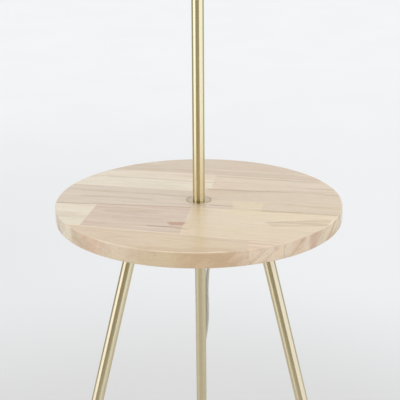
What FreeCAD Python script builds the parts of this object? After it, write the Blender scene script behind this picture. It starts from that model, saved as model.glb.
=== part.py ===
"""Floor lamp with a round table on three splayed tube legs.

Frame, in millimetres: the origin is on the floor under the pole's axis, +Z is up,
+Y points to the rear leg and the two front legs stand towards -Y.
"""

import FreeCAD, Part
import math
import os

from FreeCAD import Placement, Rotation, Vector

# ---------------------------------------------------------------- driving dimensions
# Table
TABLE_HEIGHT = 550.0
TABLE_DIAMETER = 380.0
TABLE_THICKNESS = 20.0
TABLE_EDGE_ROUND = 1.5
FLANGE_BEVEL = 0.3

# Tripod
LEG_DIAMETER = 16.0
LEG_WALL = 1.2
LEG_TOP_RADIUS = 92.4
LEG_SPLAY = 15.5
LEG_AZIMUTHS = {"rear": 90.0, "left": 210.0, "right": 330.0}
FOOT_HEAD = 6.0
FOOT_SPIGOT = 14.0
FOOT_LEAD_BEVEL = 1.0

# Leg brackets under the table
BRACKET_DIAMETER = 46.0
BRACKET_THICKNESS = 3.0
BRACKET_BOSS_LENGTH = 12.0
BRACKET_BEVEL = 0.8
LEG_STUD_DIAMETER = 8.0
LEG_STUD_LENGTH = 7.5
LEG_STUD_BEVEL = 0.8
STUD_END_ROOM = 1.0
LEG_INSERT_LENGTH = 18.0
SCREW_LENGTH = 16.0
SCREW_DIAMETER = 4.0
SCREW_HEAD_DIAMETER = 8.0
SCREWS_PER_BRACKET = 3

# Pole
POLE_DIAMETER = 16.0
POLE_WALL = 1.2
POLE_SECTION = 355.0
TUBE_END_BEVEL = 0.4
INSERT_LENGTH = 20.0

# Where the pole goes through the table
FLANGE_DIAMETER = 32.0
FLANGE_THICKNESS = 2.0
THREAD_DIAMETER = 10.0
THREAD_BORE = 6.6
THREAD_REACH = 18.0
WASHER_DIAMETER = 34.0
WASHER_THICKNESS = 2.0
NUT_ACROSS_FLATS = 14.0
NUT_THICKNESS = 5.0
WASHER_BEVEL = 0.4
NUT_BEVEL = 0.6
THREAD_BEVEL = 0.5

# Cord
CORD_DIAMETER = 5.0
RELIEF_LENGTH = 20.0
RELIEF_DIAMETER = 14.0
RELIEF_SOCKET = 4.0
RELIEF_ROUND = 1.5
PLUG_RELIEF_LENGTH = 22.0
COIL_MEAN_DIAMETER = 55.0
COIL_TURNS_PER_LAYER = 3
COIL_PITCH = 5.6
COIL_ASIDE = 100.0
COIL_INSIDE_FEET = 17.4
TIE_THICKNESS = 0.8
TIE_WIDTH = 8.0

# Plug with two round pins
PLUG_LENGTH = 36.0
PLUG_WIDTH = 32.0
PLUG_THICKNESS = 13.7
PIN_DIAMETER = 4.0
PIN_LENGTH = 19.0
PIN_SPACING = 18.6
PIN_BEVEL = 1.2

# Lampholder
HOLDER_DIAMETER = 39.0
HOLDER_BASE_HEIGHT = 36.0
HOLDER_SHELL_HEIGHT = 34.0
HOLDER_WALL = 2.5
HOLDER_NECK_HEIGHT = 12.0
CLAMP_RING_DIAMETER = 57.0
CLAMP_RING_HEIGHT = 8.0
LINER_WALL = 1.0
CAP_DIAMETER = 26.4
CAP_LENGTH = 24.0
CONTACT_HEIGHT = 6.0

# Rotary switch in the lampholder
SHAFT_DIAMETER = 4.0
SHAFT_HEIGHT = 22.0
SHAFT_END_ROOM = 0.3
KNOB_DIAMETER = 14.0
KNOB_LENGTH = 15.0
KNOB_FLUTES = 12

# Bulb
TIP_HEIGHT = 3.0
TIP_DIAMETER = 9.6
CAP_TAPER = 3.0
BULB_DIAMETER = 60.0
BULB_HEIGHT = 80.0
BULB_WALL = 1.2

# Shade
SHADE_BOTTOM_DIAMETER = 360.0
SHADE_TOP_DIAMETER = 300.0
SHADE_HEIGHT = 235.0
SHADE_WALL = 1.2
SHADE_DROP = 30.0
SHADE_WIRE = 3.0
FITTER_THICKNESS = 2.0
FITTER_RIM = 11.0
SPOKE_AZIMUTHS = (0.0, 120.0, 240.0)

# Fits, as gaps on the radius or between faces
FIT = 0.05
RUNNING_GAP = 0.05
LOOSE_FIT = 0.5
KNOB_GAP = 0.6
WRAP_GAP = 0.25

# ---------------------------------------------------------------- places worked out
UP = Vector(0, 0, 1)
TABLE_UNDERSIDE = TABLE_HEIGHT - TABLE_THICKNESS
POLE_JOINT = TABLE_HEIGHT + POLE_SECTION
POLE_TOP = POLE_JOINT + POLE_SECTION
POLE_RADIUS = POLE_DIAMETER / 2
POLE_BORE = POLE_RADIUS - POLE_WALL
LEG_RADIUS = LEG_DIAMETER / 2
LEG_BORE = LEG_RADIUS - LEG_WALL
LEG_LENGTH_TO_FLOOR = TABLE_UNDERSIDE / math.cos(math.radians(LEG_SPLAY))
CORD_RADIUS = CORD_DIAMETER / 2
THREAD_RADIUS = THREAD_DIAMETER / 2
WASHER_BOTTOM = TABLE_UNDERSIDE - WASHER_THICKNESS
NUT_BOTTOM = WASHER_BOTTOM - NUT_THICKNESS
STUD_BOTTOM = NUT_BOTTOM - RELIEF_SOCKET
CORD_EXIT = NUT_BOTTOM - RELIEF_LENGTH

HOLDER_RADIUS = HOLDER_DIAMETER / 2
HOLDER_TOP_OF_BASE = POLE_TOP + HOLDER_BASE_HEIGHT
FITTER_TOP = HOLDER_TOP_OF_BASE + FITTER_THICKNESS
CLAMP_TOP = FITTER_TOP + CLAMP_RING_HEIGHT
HOLDER_CAVITY = HOLDER_RADIUS - HOLDER_WALL
BLOCK_BOTTOM = POLE_TOP + HOLDER_NECK_HEIGHT + 2.0
BLOCK_TOP = HOLDER_TOP_OF_BASE - 4.0
CAP_RADIUS = CAP_DIAMETER / 2
LINER_BORE = CAP_RADIUS + FIT
LINER_RADIUS = LINER_BORE + LINER_WALL
TIP_BOTTOM = BLOCK_TOP + CONTACT_HEIGHT
CAP_BOTTOM = TIP_BOTTOM + TIP_HEIGHT
CAP_TOP = CAP_BOTTOM + CAP_LENGTH
SWITCH_Z = POLE_TOP + SHAFT_HEIGHT

SHADE_BOTTOM = HOLDER_TOP_OF_BASE - SHADE_DROP
SHADE_TOP = SHADE_BOTTOM + SHADE_HEIGHT
SHADE_SLOPE = (SHADE_BOTTOM_DIAMETER - SHADE_TOP_DIAMETER) / 2 / SHADE_HEIGHT
SHADE_SLANT = math.hypot(1, SHADE_SLOPE)
WIRE_RADIUS = SHADE_WIRE / 2
FITTER_BORE = HOLDER_RADIUS + LOOSE_FIT
FITTER_RADIUS = FITTER_BORE + FITTER_RIM

# The coil lies on its tie, behind the lamp and beside the rear foot.
FOOT_CIRCLE = LEG_TOP_RADIUS + TABLE_UNDERSIDE * math.tan(math.radians(LEG_SPLAY))
COIL_CENTRE = Vector(COIL_ASIDE, FOOT_CIRCLE - COIL_INSIDE_FEET, 0)
COIL_TURNS = 2 * COIL_TURNS_PER_LAYER + 0.5
COIL_FLOOR = TIE_THICKNESS + WRAP_GAP + CORD_RADIUS
COIL_LEAST_RADIUS = COIL_MEAN_DIAMETER / 2 - COIL_PITCH * COIL_TURNS / 4
LEAD_IN = CORD_DIAMETER


# ---------------------------------------------------------------- making shapes
def turned(points, base=Vector(0, 0, 0), axis=UP):
    """A solid of revolution: the closed outline of (radius, height) points, turned about axis."""
    outline = Part.makePolygon([Vector(r, 0, z) for r, z in points + points[:1]])
    solid = Part.Face(outline).revolve(Vector(0, 0, 0), UP, 360)
    solid.Placement = Placement(base, Rotation(UP, axis))
    return solid


def ring(outer, inner, bottom, top, bevel=0.0):
    """A tube round the pole's axis, with bevelled outer edges."""
    return turned(
        [
            (inner, bottom),
            (outer - bevel, bottom),
            (outer, bottom + bevel),
            (outer, top - bevel),
            (outer - bevel, top),
            (inner, top),
        ]
        if bevel
        else [(inner, bottom), (outer, bottom), (outer, top), (inner, top)]
    )


def rod(radius, start, end):
    """A round bar between two points."""
    return Part.makeCylinder(radius, (end - start).Length, start, end - start)


def polar(radius, azimuth, z=0.0):
    """A point at a radius and an azimuth, in degrees, about the pole's axis."""
    angle = math.radians(azimuth)
    return Vector(radius * math.cos(angle), radius * math.sin(angle), z)


def leg_frame(azimuth):
    """The frame of one leg: its origin is where the leg's axis meets the table's underside, and its
    +Z runs down along the leg."""
    tilt = Rotation(Vector(0, 1, 0), 180 - LEG_SPLAY)
    return Placement(polar(LEG_TOP_RADIUS, azimuth, TABLE_UNDERSIDE), Rotation(UP, azimuth) * tilt)


def along_leg(shape, azimuth):
    """A copy of a shape built along +Z, set on one leg's axis."""
    placed = shape.copy()
    placed.Placement = leg_frame(azimuth) * placed.Placement
    return placed


# ---------------------------------------------------------------- table
def screw_shape(gap=0.0):
    """A countersunk wood screw, pointing up from its head's flat face, grown by gap on the radius."""
    shank, head = SCREW_DIAMETER / 2 + gap, SCREW_HEAD_DIAMETER / 2 + gap
    cone = head - shank
    tip = SCREW_LENGTH - SCREW_DIAMETER
    return turned([(0, 0), (head, 0), (shank, cone), (shank, tip), (0, SCREW_LENGTH + gap)])


def screw_places():
    """The middle of each screw's head, evenly spaced round each bracket, clear of the leg above it."""
    circle = (BRACKET_DIAMETER / 2 + LEG_RADIUS) / 2 + LOOSE_FIT
    for azimuth in LEG_AZIMUTHS.values():
        centre = polar(LEG_TOP_RADIUS, azimuth, TABLE_UNDERSIDE - BRACKET_THICKNESS)
        for k in range(SCREWS_PER_BRACKET):
            yield centre + polar(circle, azimuth + 180 + 360 * k / SCREWS_PER_BRACKET)


def screws(gap=0.0):
    """All the bracket screws, as a list of separate solids."""
    solids = []
    for place in screw_places():
        solid = screw_shape(gap)
        solid.Placement = Placement(place, Rotation())
        solids.append(solid)
    return solids


def tabletop():
    """The round wooden top: softened edges, a seat for the flange, holes for the stud and screws."""
    top = Part.makeCylinder(TABLE_DIAMETER / 2, TABLE_THICKNESS, Vector(0, 0, TABLE_UNDERSIDE))
    rims = [e for e in top.Edges if isinstance(e.Curve, Part.Circle)]
    top = top.makeFillet(TABLE_EDGE_ROUND, rims)
    seat = ring(FLANGE_DIAMETER / 2 + LOOSE_FIT, 0, TABLE_HEIGHT - FLANGE_THICKNESS, TABLE_HEIGHT)
    bore = ring(THREAD_RADIUS + LOOSE_FIT, 0, TABLE_UNDERSIDE, TABLE_HEIGHT)
    return top.cut([seat, bore] + screws(FIT))


def table_flange():
    """The brass disc under the pole, let in flush with the wood."""
    bottom = TABLE_HEIGHT - FLANGE_THICKNESS
    outer, bevel = FLANGE_DIAMETER / 2, FLANGE_BEVEL
    return turned(
        [
            (THREAD_RADIUS + FIT, bottom),
            (outer, bottom),
            (outer, TABLE_HEIGHT - bevel),
            (outer - bevel, TABLE_HEIGHT),
            (THREAD_RADIUS + FIT, TABLE_HEIGHT),
        ]
    )


def under_washer():
    """The washer between the nut and the wood."""
    outer, bore = WASHER_DIAMETER / 2, THREAD_RADIUS + FIT
    return ring(outer, bore, WASHER_BOTTOM, TABLE_UNDERSIDE, WASHER_BEVEL)


def hub_nut():
    """The hexagon nut under the table."""
    corner = NUT_ACROSS_FLATS / math.sqrt(3)
    corners = [polar(corner, 60 * k, NUT_BOTTOM) for k in range(7)]
    block = Part.Face(Part.makePolygon(corners)).extrude(Vector(0, 0, NUT_THICKNESS))
    bevelled = turned(
        [
            (0, NUT_BOTTOM),
            (NUT_ACROSS_FLATS / 2, NUT_BOTTOM),
            (corner, NUT_BOTTOM + NUT_BEVEL),
            (corner, NUT_BOTTOM + NUT_THICKNESS),
            (0, NUT_BOTTOM + NUT_THICKNESS),
        ]
    )
    bore = Part.makeCylinder(THREAD_RADIUS + FIT, NUT_THICKNESS, Vector(0, 0, NUT_BOTTOM))
    return block.common(bevelled).cut(bore)


def cord_relief():
    """The tapered sleeve that guides the cord out of the threaded tube's lower end."""
    top, tip = RELIEF_DIAMETER / 2, CORD_RADIUS + 1.0
    shoulder = NUT_BOTTOM - RELIEF_SOCKET - 2.0
    return turned(
        [
            (CORD_RADIUS + FIT, CORD_EXIT),
            (tip, CORD_EXIT),
            (top - RELIEF_ROUND, shoulder),
            (top, shoulder + RELIEF_ROUND),
            (top, NUT_BOTTOM),
            (THREAD_RADIUS + FIT, NUT_BOTTOM),
            (THREAD_RADIUS + FIT, STUD_BOTTOM),
            (CORD_RADIUS + FIT, STUD_BOTTOM),
        ]
    )


# ---------------------------------------------------------------- tripod
def leg_bracket(azimuth):
    """A plate screwed flat under the table, with a threaded boss whose face is square to the leg."""
    bottom = TABLE_UNDERSIDE - BRACKET_THICKNESS
    centre = polar(LEG_TOP_RADIUS, azimuth, bottom)
    plate = Part.makeCylinder(BRACKET_DIAMETER / 2, BRACKET_THICKNESS, centre)
    circles = [e for e in plate.Edges if isinstance(e.Curve, Part.Circle)]
    lower_rim = [e for e in circles if abs(e.Curve.Center.z - bottom) < FIT]
    plate = plate.makeChamfer(BRACKET_BEVEL, lower_rim)
    reach = LEG_RADIUS * math.tan(math.radians(LEG_SPLAY))
    boss = Part.makeCylinder(LEG_RADIUS, BRACKET_BOSS_LENGTH + reach, Vector(0, 0, -reach))
    wood = Part.makeCylinder(BRACKET_DIAMETER, TABLE_THICKNESS, centre + UP * BRACKET_THICKNESS)
    depth = LEG_STUD_LENGTH + STUD_END_ROOM
    thread = ring(LEG_STUD_DIAMETER / 2 + FIT, 0, BRACKET_BOSS_LENGTH - depth, BRACKET_BOSS_LENGTH)
    bracket = plate.fuse(along_leg(boss, azimuth))
    return bracket.cut([wood, along_leg(thread, azimuth)] + screws(FIT)).removeSplitter()


def leg(azimuth):
    """One tube leg, square at both ends, from the bracket's boss to the foot."""
    top, end = BRACKET_BOSS_LENGTH, LEG_LENGTH_TO_FLOOR - FOOT_HEAD
    return along_leg(ring(LEG_RADIUS, LEG_BORE, top, end, TUBE_END_BEVEL), azimuth)


def leg_insert(azimuth):
    """The plug pressed into a leg's top end, with the stud that screws into the bracket."""
    face, plug, stud = BRACKET_BOSS_LENGTH, LEG_BORE - FIT, LEG_STUD_DIAMETER / 2
    tip = face - LEG_STUD_LENGTH
    outline = [
        (0, tip),
        (stud - LEG_STUD_BEVEL, tip),
        (stud, tip + LEG_STUD_BEVEL),
        (stud, face),
        (plug, face),
        (plug, face + LEG_INSERT_LENGTH),
        (0, face + LEG_INSERT_LENGTH),
    ]
    return along_leg(turned(outline), azimuth)


def foot(azimuth):
    """The plastic glide in a leg's lower end, cut level so that it stands flat on the floor."""
    end = LEG_LENGTH_TO_FLOOR - FOOT_HEAD
    past_floor = LEG_LENGTH_TO_FLOOR + LEG_DIAMETER
    spigot = LEG_BORE - FIT
    outline = [
        (0, end - FOOT_SPIGOT),
        (spigot - FOOT_LEAD_BEVEL, end - FOOT_SPIGOT),
        (spigot, end - FOOT_SPIGOT + FOOT_LEAD_BEVEL),
        (spigot, end),
        (LEG_RADIUS, end),
        (LEG_RADIUS, past_floor),
        (0, past_floor),
    ]
    reach, depth = FOOT_CIRCLE + LEG_DIAMETER, 4 * LEG_DIAMETER
    below = Part.makeBox(2 * reach, 2 * reach, depth, Vector(-reach, -reach, -depth))
    return along_leg(turned(outline), azimuth).cut(below)


# ---------------------------------------------------------------- pole
def pole_section(bottom):
    """One tube of the pole."""
    return ring(POLE_RADIUS, POLE_BORE, bottom, bottom + POLE_SECTION, TUBE_END_BEVEL)


def threaded_insert(bottom, top):
    """A plug pressed into an end of a pole tube, bored for the hollow thread."""
    return ring(POLE_BORE - FIT, THREAD_RADIUS + FIT, bottom, top)


def hollow_thread(bottom, top):
    """A length of hollow threaded tube that the cord runs through."""
    return ring(THREAD_RADIUS, THREAD_BORE / 2, bottom, top, THREAD_BEVEL)


def joint_spigot():
    """The plug in the upper tube's lower end, with the hollow thread that screws into the lower tube."""
    plug, stud, bore = POLE_BORE - FIT, THREAD_RADIUS, THREAD_BORE / 2
    tip = POLE_JOINT - THREAD_REACH
    return turned(
        [
            (bore, tip),
            (stud - THREAD_BEVEL, tip),
            (stud, tip + THREAD_BEVEL),
            (stud, POLE_JOINT),
            (plug, POLE_JOINT),
            (plug, POLE_JOINT + INSERT_LENGTH),
            (bore, POLE_JOINT + INSERT_LENGTH),
        ]
    )


# ---------------------------------------------------------------- lampholder, switch and bulb
def holder_base():
    """The lower cup of the lampholder, with a flange that carries the shade and a hole for the switch."""
    neck, flange = POLE_RADIUS + 1.5, HOLDER_RADIUS + 3.5
    cavity_floor, top = POLE_TOP + HOLDER_NECK_HEIGHT, HOLDER_TOP_OF_BASE
    cup = turned(
        [
            (THREAD_RADIUS + FIT, POLE_TOP),
            (neck, POLE_TOP),
            (neck + 1.0, POLE_TOP + 3.0),
            (HOLDER_RADIUS - 2.0, cavity_floor - 1.5),
            (HOLDER_RADIUS, cavity_floor + 2.0),
            (HOLDER_RADIUS, top - 4.5),
            (flange, top - 3.0),
            (flange, top),
            (HOLDER_CAVITY, top),
            (HOLDER_CAVITY, cavity_floor),
            (THREAD_RADIUS + FIT, cavity_floor),
        ]
    )
    bearing = SHAFT_DIAMETER / 2 + RUNNING_GAP
    return cup.cut(rod(bearing, Vector(0, 0, SWITCH_Z), Vector(flange, 0, SWITCH_Z)))


def contact_block():
    """The insulating block in the cup, which holds the contacts and the switch's inner bearing."""
    block = ring(HOLDER_CAVITY - FIT, 0, BLOCK_BOTTOM, BLOCK_TOP)
    start, end = Vector(shaft_end() - SHAFT_END_ROOM, 0, SWITCH_Z), Vector(HOLDER_CAVITY, 0, SWITCH_Z)
    bearing = rod(SHAFT_DIAMETER / 2 + RUNNING_GAP, start, end)
    return block.cut(bearing)


def shaft_end():
    """How far from the pole's axis the switch's shaft ends inside the block."""
    return HOLDER_CAVITY / 3


def centre_contact():
    """The sprung middle contact, as a domed stud on the block."""
    return turned(
        [
            (0, BLOCK_TOP),
            (2.0, BLOCK_TOP),
            (2.0, TIP_BOTTOM - 1.5),
            (3.2, TIP_BOTTOM - 1.5),
            (3.2, TIP_BOTTOM - 0.7),
            (2.0, TIP_BOTTOM),
            (0, TIP_BOTTOM),
        ]
    )


def thread_liner():
    """The thin metal sleeve that takes the bulb's thread."""
    return ring(LINER_RADIUS, LINER_BORE, BLOCK_TOP, HOLDER_TOP_OF_BASE + HOLDER_SHELL_HEIGHT - 4.0)


def holder_shell():
    """The upper sleeve of the lampholder, which the clamp ring screws down on."""
    bore = LINER_RADIUS + FIT
    return ring(HOLDER_RADIUS, bore, HOLDER_TOP_OF_BASE, HOLDER_TOP_OF_BASE + HOLDER_SHELL_HEIGHT, 1.0)


def fluted(solid, radius, count, depth, start, end):
    """Cuts shallow flutes of a depth, evenly spaced round a turned solid, between two heights."""
    flute = radius * math.pi / count / 2.4
    cuts = []
    for k in range(count):
        place = polar(radius + flute - depth, 360 * k / count)
        cuts.append(rod(flute, place + UP * start, place + UP * end))
    return solid.cut(cuts)


def shade_clamp_ring():
    """The ring that holds the shade down on the lampholder, with finger scallops round it."""
    radius = CLAMP_RING_DIAMETER / 2
    body = ring(radius, HOLDER_RADIUS + FIT, FITTER_TOP, CLAMP_TOP, 0.8)
    return fluted(body, radius, 12, 0.9, FITTER_TOP + 2.0, CLAMP_TOP + 1.0)


def switch_shaft():
    """The shaft of the rotary switch, from its bearing in the block into the knob."""
    return rod(
        SHAFT_DIAMETER / 2,
        Vector(shaft_end(), 0, SWITCH_Z),
        Vector(HOLDER_RADIUS + KNOB_GAP + KNOB_LENGTH / 2, 0, SWITCH_Z),
    )


def switch_knob():
    """The fluted knob of the rotary switch, turned about the shaft, with a domed face."""
    radius, bore = KNOB_DIAMETER / 2, SHAFT_DIAMETER / 2 + FIT
    blind = KNOB_LENGTH / 2 + FIT
    body = turned(
        [
            (bore, 0),
            (radius - 1.5, 0),
            (radius - 1.5, 2.0),
            (radius, 3.0),
            (radius, KNOB_LENGTH - 1.5),
            (radius - 1.5, KNOB_LENGTH),
            (0, KNOB_LENGTH),
            (0, blind),
            (bore, blind),
        ]
    )
    body = fluted(body, radius, KNOB_FLUTES, 0.5, 2.0, KNOB_LENGTH + 1.0)
    place = Vector(HOLDER_RADIUS + KNOB_GAP, 0, SWITCH_Z)
    body.Placement = Placement(place, Rotation(UP, Vector(1, 0, 0)))
    return body


def bulb_tip():
    """The insulator and foot contact at the bulb's lower end."""
    outline = [(TIP_DIAMETER / 2, TIP_BOTTOM), (CAP_RADIUS - CAP_TAPER, CAP_BOTTOM), (0, CAP_BOTTOM)]
    return turned([(0, TIP_BOTTOM)] + outline)


def bulb_cap():
    """The screw cap of the bulb."""
    return turned(
        [
            (0, CAP_BOTTOM),
            (CAP_RADIUS - CAP_TAPER, CAP_BOTTOM),
            (CAP_RADIUS, CAP_BOTTOM + CAP_TAPER),
            (CAP_RADIUS, CAP_TOP),
            (0, CAP_TOP),
        ]
    )


def bulb_outline(shrink):
    """Half of the bulb's outline, from the cap's rim up to the top: a neck that widens into a ball."""
    ball, neck = BULB_DIAMETER / 2 - shrink, CAP_RADIUS - 0.6 - shrink
    centre = CAP_TOP + BULB_HEIGHT - BULB_DIAMETER / 2
    leave = math.radians(-35)
    foot_point = Vector(neck, 0, CAP_TOP)
    joint = Vector(ball * math.cos(leave), 0, centre + ball * math.sin(leave))
    side = Vector(math.sin(leave), 0, -math.cos(leave))
    curve = Part.BezierCurve()
    reach = (joint - foot_point).Length / 2.5
    curve.setPoles([foot_point, foot_point + UP * reach, joint + side * reach, joint])
    equator = Vector(ball * math.cos(0.3), 0, centre + ball * math.sin(0.3))
    crown = Vector(0, 0, centre + ball)
    arc = Part.Arc(joint, equator, crown)
    return [curve.toShape(), arc.toShape()], foot_point, crown


def bulb_body(shrink):
    """The bulb's outline, turned into a solid."""
    edges, foot_point, crown = bulb_outline(shrink)
    base = Vector(0, 0, CAP_TOP)
    edges += [Part.LineSegment(crown, base).toShape(), Part.LineSegment(base, foot_point).toShape()]
    return Part.Face(Part.Wire(edges)).revolve(Vector(0, 0, 0), UP, 360)


def bulb_glass():
    """The opal glass, a thin shell."""
    return bulb_body(0).cut(bulb_body(BULB_WALL))


# ---------------------------------------------------------------- shade
def shade_radius(z):
    """The shade's inner radius at a height."""
    outer = SHADE_BOTTOM_DIAMETER / 2 - (z - SHADE_BOTTOM) * SHADE_SLOPE
    return outer - SHADE_WALL * SHADE_SLANT


def shade_fabric():
    """The tapered drum, open at both ends."""
    bottom, top = SHADE_BOTTOM_DIAMETER / 2, SHADE_TOP_DIAMETER / 2
    wall = SHADE_WALL * SHADE_SLANT
    return turned(
        [(bottom - wall, SHADE_BOTTOM), (bottom, SHADE_BOTTOM), (top, SHADE_TOP), (top - wall, SHADE_TOP)]
    )


def wire_circle(z):
    """The radius at which a wire ring lies against the shade's inside."""
    return shade_radius(z) - (WIRE_RADIUS + FIT) * SHADE_SLANT


def shade_ring(z):
    """A wire ring inside an edge of the shade."""
    return Part.makeTorus(wire_circle(z), WIRE_RADIUS, Vector(0, 0, z))


def fitter_ring():
    """The flat ring that lies on the lampholder's flange."""
    return ring(FITTER_RADIUS, FITTER_BORE, HOLDER_TOP_OF_BASE, FITTER_TOP)


def shade_spokes():
    """The wires from the fitter ring down to the lower wire ring, shaped to both."""
    low = SHADE_BOTTOM + WIRE_RADIUS
    high = (HOLDER_TOP_OF_BASE + FITTER_TOP) / 2
    seats = [fitter_ring(), shade_ring(low)]
    spokes = []
    for azimuth in SPOKE_AZIMUTHS:
        inner = polar(FITTER_RADIUS - 0.5, azimuth, high)
        outer = polar(wire_circle(low), azimuth, low)
        pieces = rod(WIRE_RADIUS, inner, outer).cut(seats).Solids
        spokes.append(max(pieces, key=lambda s: s.Volume))
    return Part.makeCompound(spokes)


# ---------------------------------------------------------------- cord
def straight_and_arcs(points, name):
    """A path of straight runs joined by tangent arcs. Each arc takes 0.45 of the shorter run beside it."""
    edges, start, radii = [], points[0], []
    for before, corner, after in zip(points, points[1:], points[2:]):
        back, ahead = before - corner, after - corner
        reach = 0.45 * min(back.Length, ahead.Length)
        turn = math.pi - back.getAngle(ahead)
        radius = reach / math.tan(turn / 2)
        radii.append(radius)
        back.normalize()
        ahead.normalize()
        enter, leave = corner + back * reach, corner + ahead * reach
        middle = corner + (back + ahead).normalize() * (radius / math.cos(turn / 2) - radius)
        edges.append(Part.LineSegment(start, enter).toShape())
        edges.append(Part.Arc(enter, middle, leave).toShape())
        start = leave
    edges.append(Part.LineSegment(start, points[-1]).toShape())
    print(name, "radii", [round(r, 1) for r in radii])
    return edges


def cord_tube(edges, name):
    """A round tube along a path, with its volume compared with its section times its length."""
    path = Part.Wire(edges)
    start = path.Edges[0]
    direction = start.tangentAt(start.FirstParameter)
    origin = start.valueAt(start.FirstParameter)
    section = Part.Wire([Part.makeCircle(CORD_RADIUS, origin, direction)])
    tube = path.makePipeShell([section], True, False)
    if tube.Volume < 0:
        tube.reverse()
    expected = math.pi * CORD_RADIUS**2 * path.Length
    print(name, "length", round(path.Length, 1), "volume ratio", round(tube.Volume / expected, 4))
    return tube


def leg_side(z, sideways, off_axis):
    """A point beside the rear leg: its height, how far to the right, and how far off the leg's axis
    on its outer side."""
    splay = math.radians(LEG_SPLAY)
    axis_y = LEG_TOP_RADIUS + (TABLE_UNDERSIDE - z) * math.tan(splay)
    return Vector(sideways, axis_y + off_axis / math.cos(splay), z)


def drop_route():
    """The cord from the relief's tip, back to the right side of the rear leg, down behind it and along
    the floor to the coil."""
    coil_y = coil_point(0).y
    lead = COIL_CENTRE.x - LEAD_IN
    return [
        Vector(0, 0, CORD_EXIT),
        Vector(0, 0, CORD_EXIT - 13.4),
        Vector(0.4, 6.5, CORD_EXIT - 26.6),
        Vector(1.6, 20, CORD_EXIT - 37.4),
        Vector(4.2, 45, CORD_EXIT - 46),
        Vector(9.5, 77, CORD_EXIT - 56),
        Vector(14, 103, CORD_EXIT - 69),
        leg_side(416, 14.6, 2.0),
        leg_side(392, 11.4, 6.4),
        leg_side(360, 9.4, 8.4),
        leg_side(322, 10.6, 7.0),
        leg_side(284, 9.8, 8.2),
        leg_side(246, 4.6, 11.4),
        leg_side(208, -2.6, 12.6),
        leg_side(168, -4.6, 11.6),
        leg_side(128, -1.8, 12.6),
        leg_side(90, 2.6, 11.8),
        leg_side(58, 2.2, 13.4),
        leg_side(33, 5.2, 17.0),
        Vector(16, FOOT_CIRCLE + 18.5, 14.5),
        Vector(34, FOOT_CIRCLE + 22, 6.0),
        Vector(55, coil_y + 1.4, 3.2),
        Vector(76, coil_y, COIL_FLOOR),
        Vector(lead, coil_y, COIL_FLOOR),
    ]


def coil_point(turn):
    """The coil's centreline after a number of turns, clockwise from its rearmost point. It spirals in
    at a steady rate, climbs to the second layer where the spiral reverses, and spirals out again."""
    radius = COIL_LEAST_RADIUS + COIL_PITCH * abs(turn - COIL_TURNS / 2)
    climb = min(max(2 * (turn - COIL_TURNS_PER_LAYER), 0), 1)
    height = COIL_FLOOR + COIL_PITCH * climb**2 * (3 - 2 * climb)
    return COIL_CENTRE + polar(radius, 90 - 360 * turn, height)


def coil_tangent(turn):
    """The direction of the coil's centreline there. Its two ends are square to the straight leads."""
    if turn <= 0:
        return Vector(1, 0, 0)
    if turn >= COIL_TURNS:
        return Vector(-1, 0, 0)
    step = 1e-4
    return (coil_point(turn + step) - coil_point(turn - step)).normalize()


def biarc(start, start_way, end, end_way):
    """Two arcs that join two points and keep both directions."""
    span, both = end - start, start_way + end_way
    bend = 2 * (1 - start_way.dot(end_way))
    if bend < 1e-9:
        return [Part.LineSegment(start, end).toShape()]
    along = span.dot(both)
    reach = (-along + math.sqrt(along**2 + bend * span.dot(span))) / bend
    joint = (start + end + (start_way - end_way) * reach) * 0.5
    return [arc_from(start, start_way, joint), arc_from(end, end_way * -1, joint)]


def arc_from(start, way, end):
    """The arc from start, in a given direction, to end."""
    chord = end - start
    normal = chord.cross(way).cross(way)
    centre = start + normal * (chord.dot(chord) / (2 * normal.dot(chord)))
    middle_way = ((start + end) * 0.5 - centre).normalize()
    return Part.Arc(start, centre + middle_way * (start - centre).Length, end).toShape()


def coil_edges():
    """The coil's path: a straight lead-in, a biarc for each quarter turn, and a straight lead-out."""
    first, last = coil_point(0), coil_point(COIL_TURNS)
    edges = [Part.LineSegment(first - Vector(LEAD_IN, 0, 0), first).toShape()]
    quarters = int(4 * COIL_TURNS)
    for k in range(quarters):
        a, b = k / 4, (k + 1) / 4
        edges += biarc(coil_point(a), coil_tangent(a), coil_point(b), coil_tangent(b))
    return edges + [Part.LineSegment(last, last - Vector(LEAD_IN, 0, 0)).toShape()]


def print_least_gap(edges):
    """Prints the least gap between two turns of the coil, measured between points on its path."""
    path, spacing = Part.Wire(edges), 1.5
    points = path.discretize(Distance=spacing)
    skip = int(4 * CORD_DIAMETER / spacing)
    least = min((p - q).Length for i, p in enumerate(points) for q in points[i + skip :])
    print("coil's least gap to itself", round(least - CORD_DIAMETER, 2))


def tail_route():
    """The cord's last stretch, from the coil down to the plug's relief."""
    start = coil_point(COIL_TURNS) - Vector(LEAD_IN, 0, 0)
    end = plug_tip()
    return [
        start,
        start + Vector(-9, 0, 0),
        start + Vector(-19, -1.0, -0.8),
        end + Vector(9, 0, 0),
        end,
    ]


def plug_tip():
    """Where the cord enters the plug's relief."""
    last = coil_point(COIL_TURNS)
    return Vector(last.x - 44.0, last.y - 2.0, PLUG_THICKNESS / 2)


def plug_relief():
    """The tapered sleeve at the plug's back, round the cord's last millimetres."""
    outline = [
        (0, 0),
        (CORD_RADIUS + 0.8, 0),
        (CORD_RADIUS + 2.0, PLUG_RELIEF_LENGTH),
        (0, PLUG_RELIEF_LENGTH),
    ]
    return turned(outline, plug_tip(), Vector(-1, 0, 0))


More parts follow.
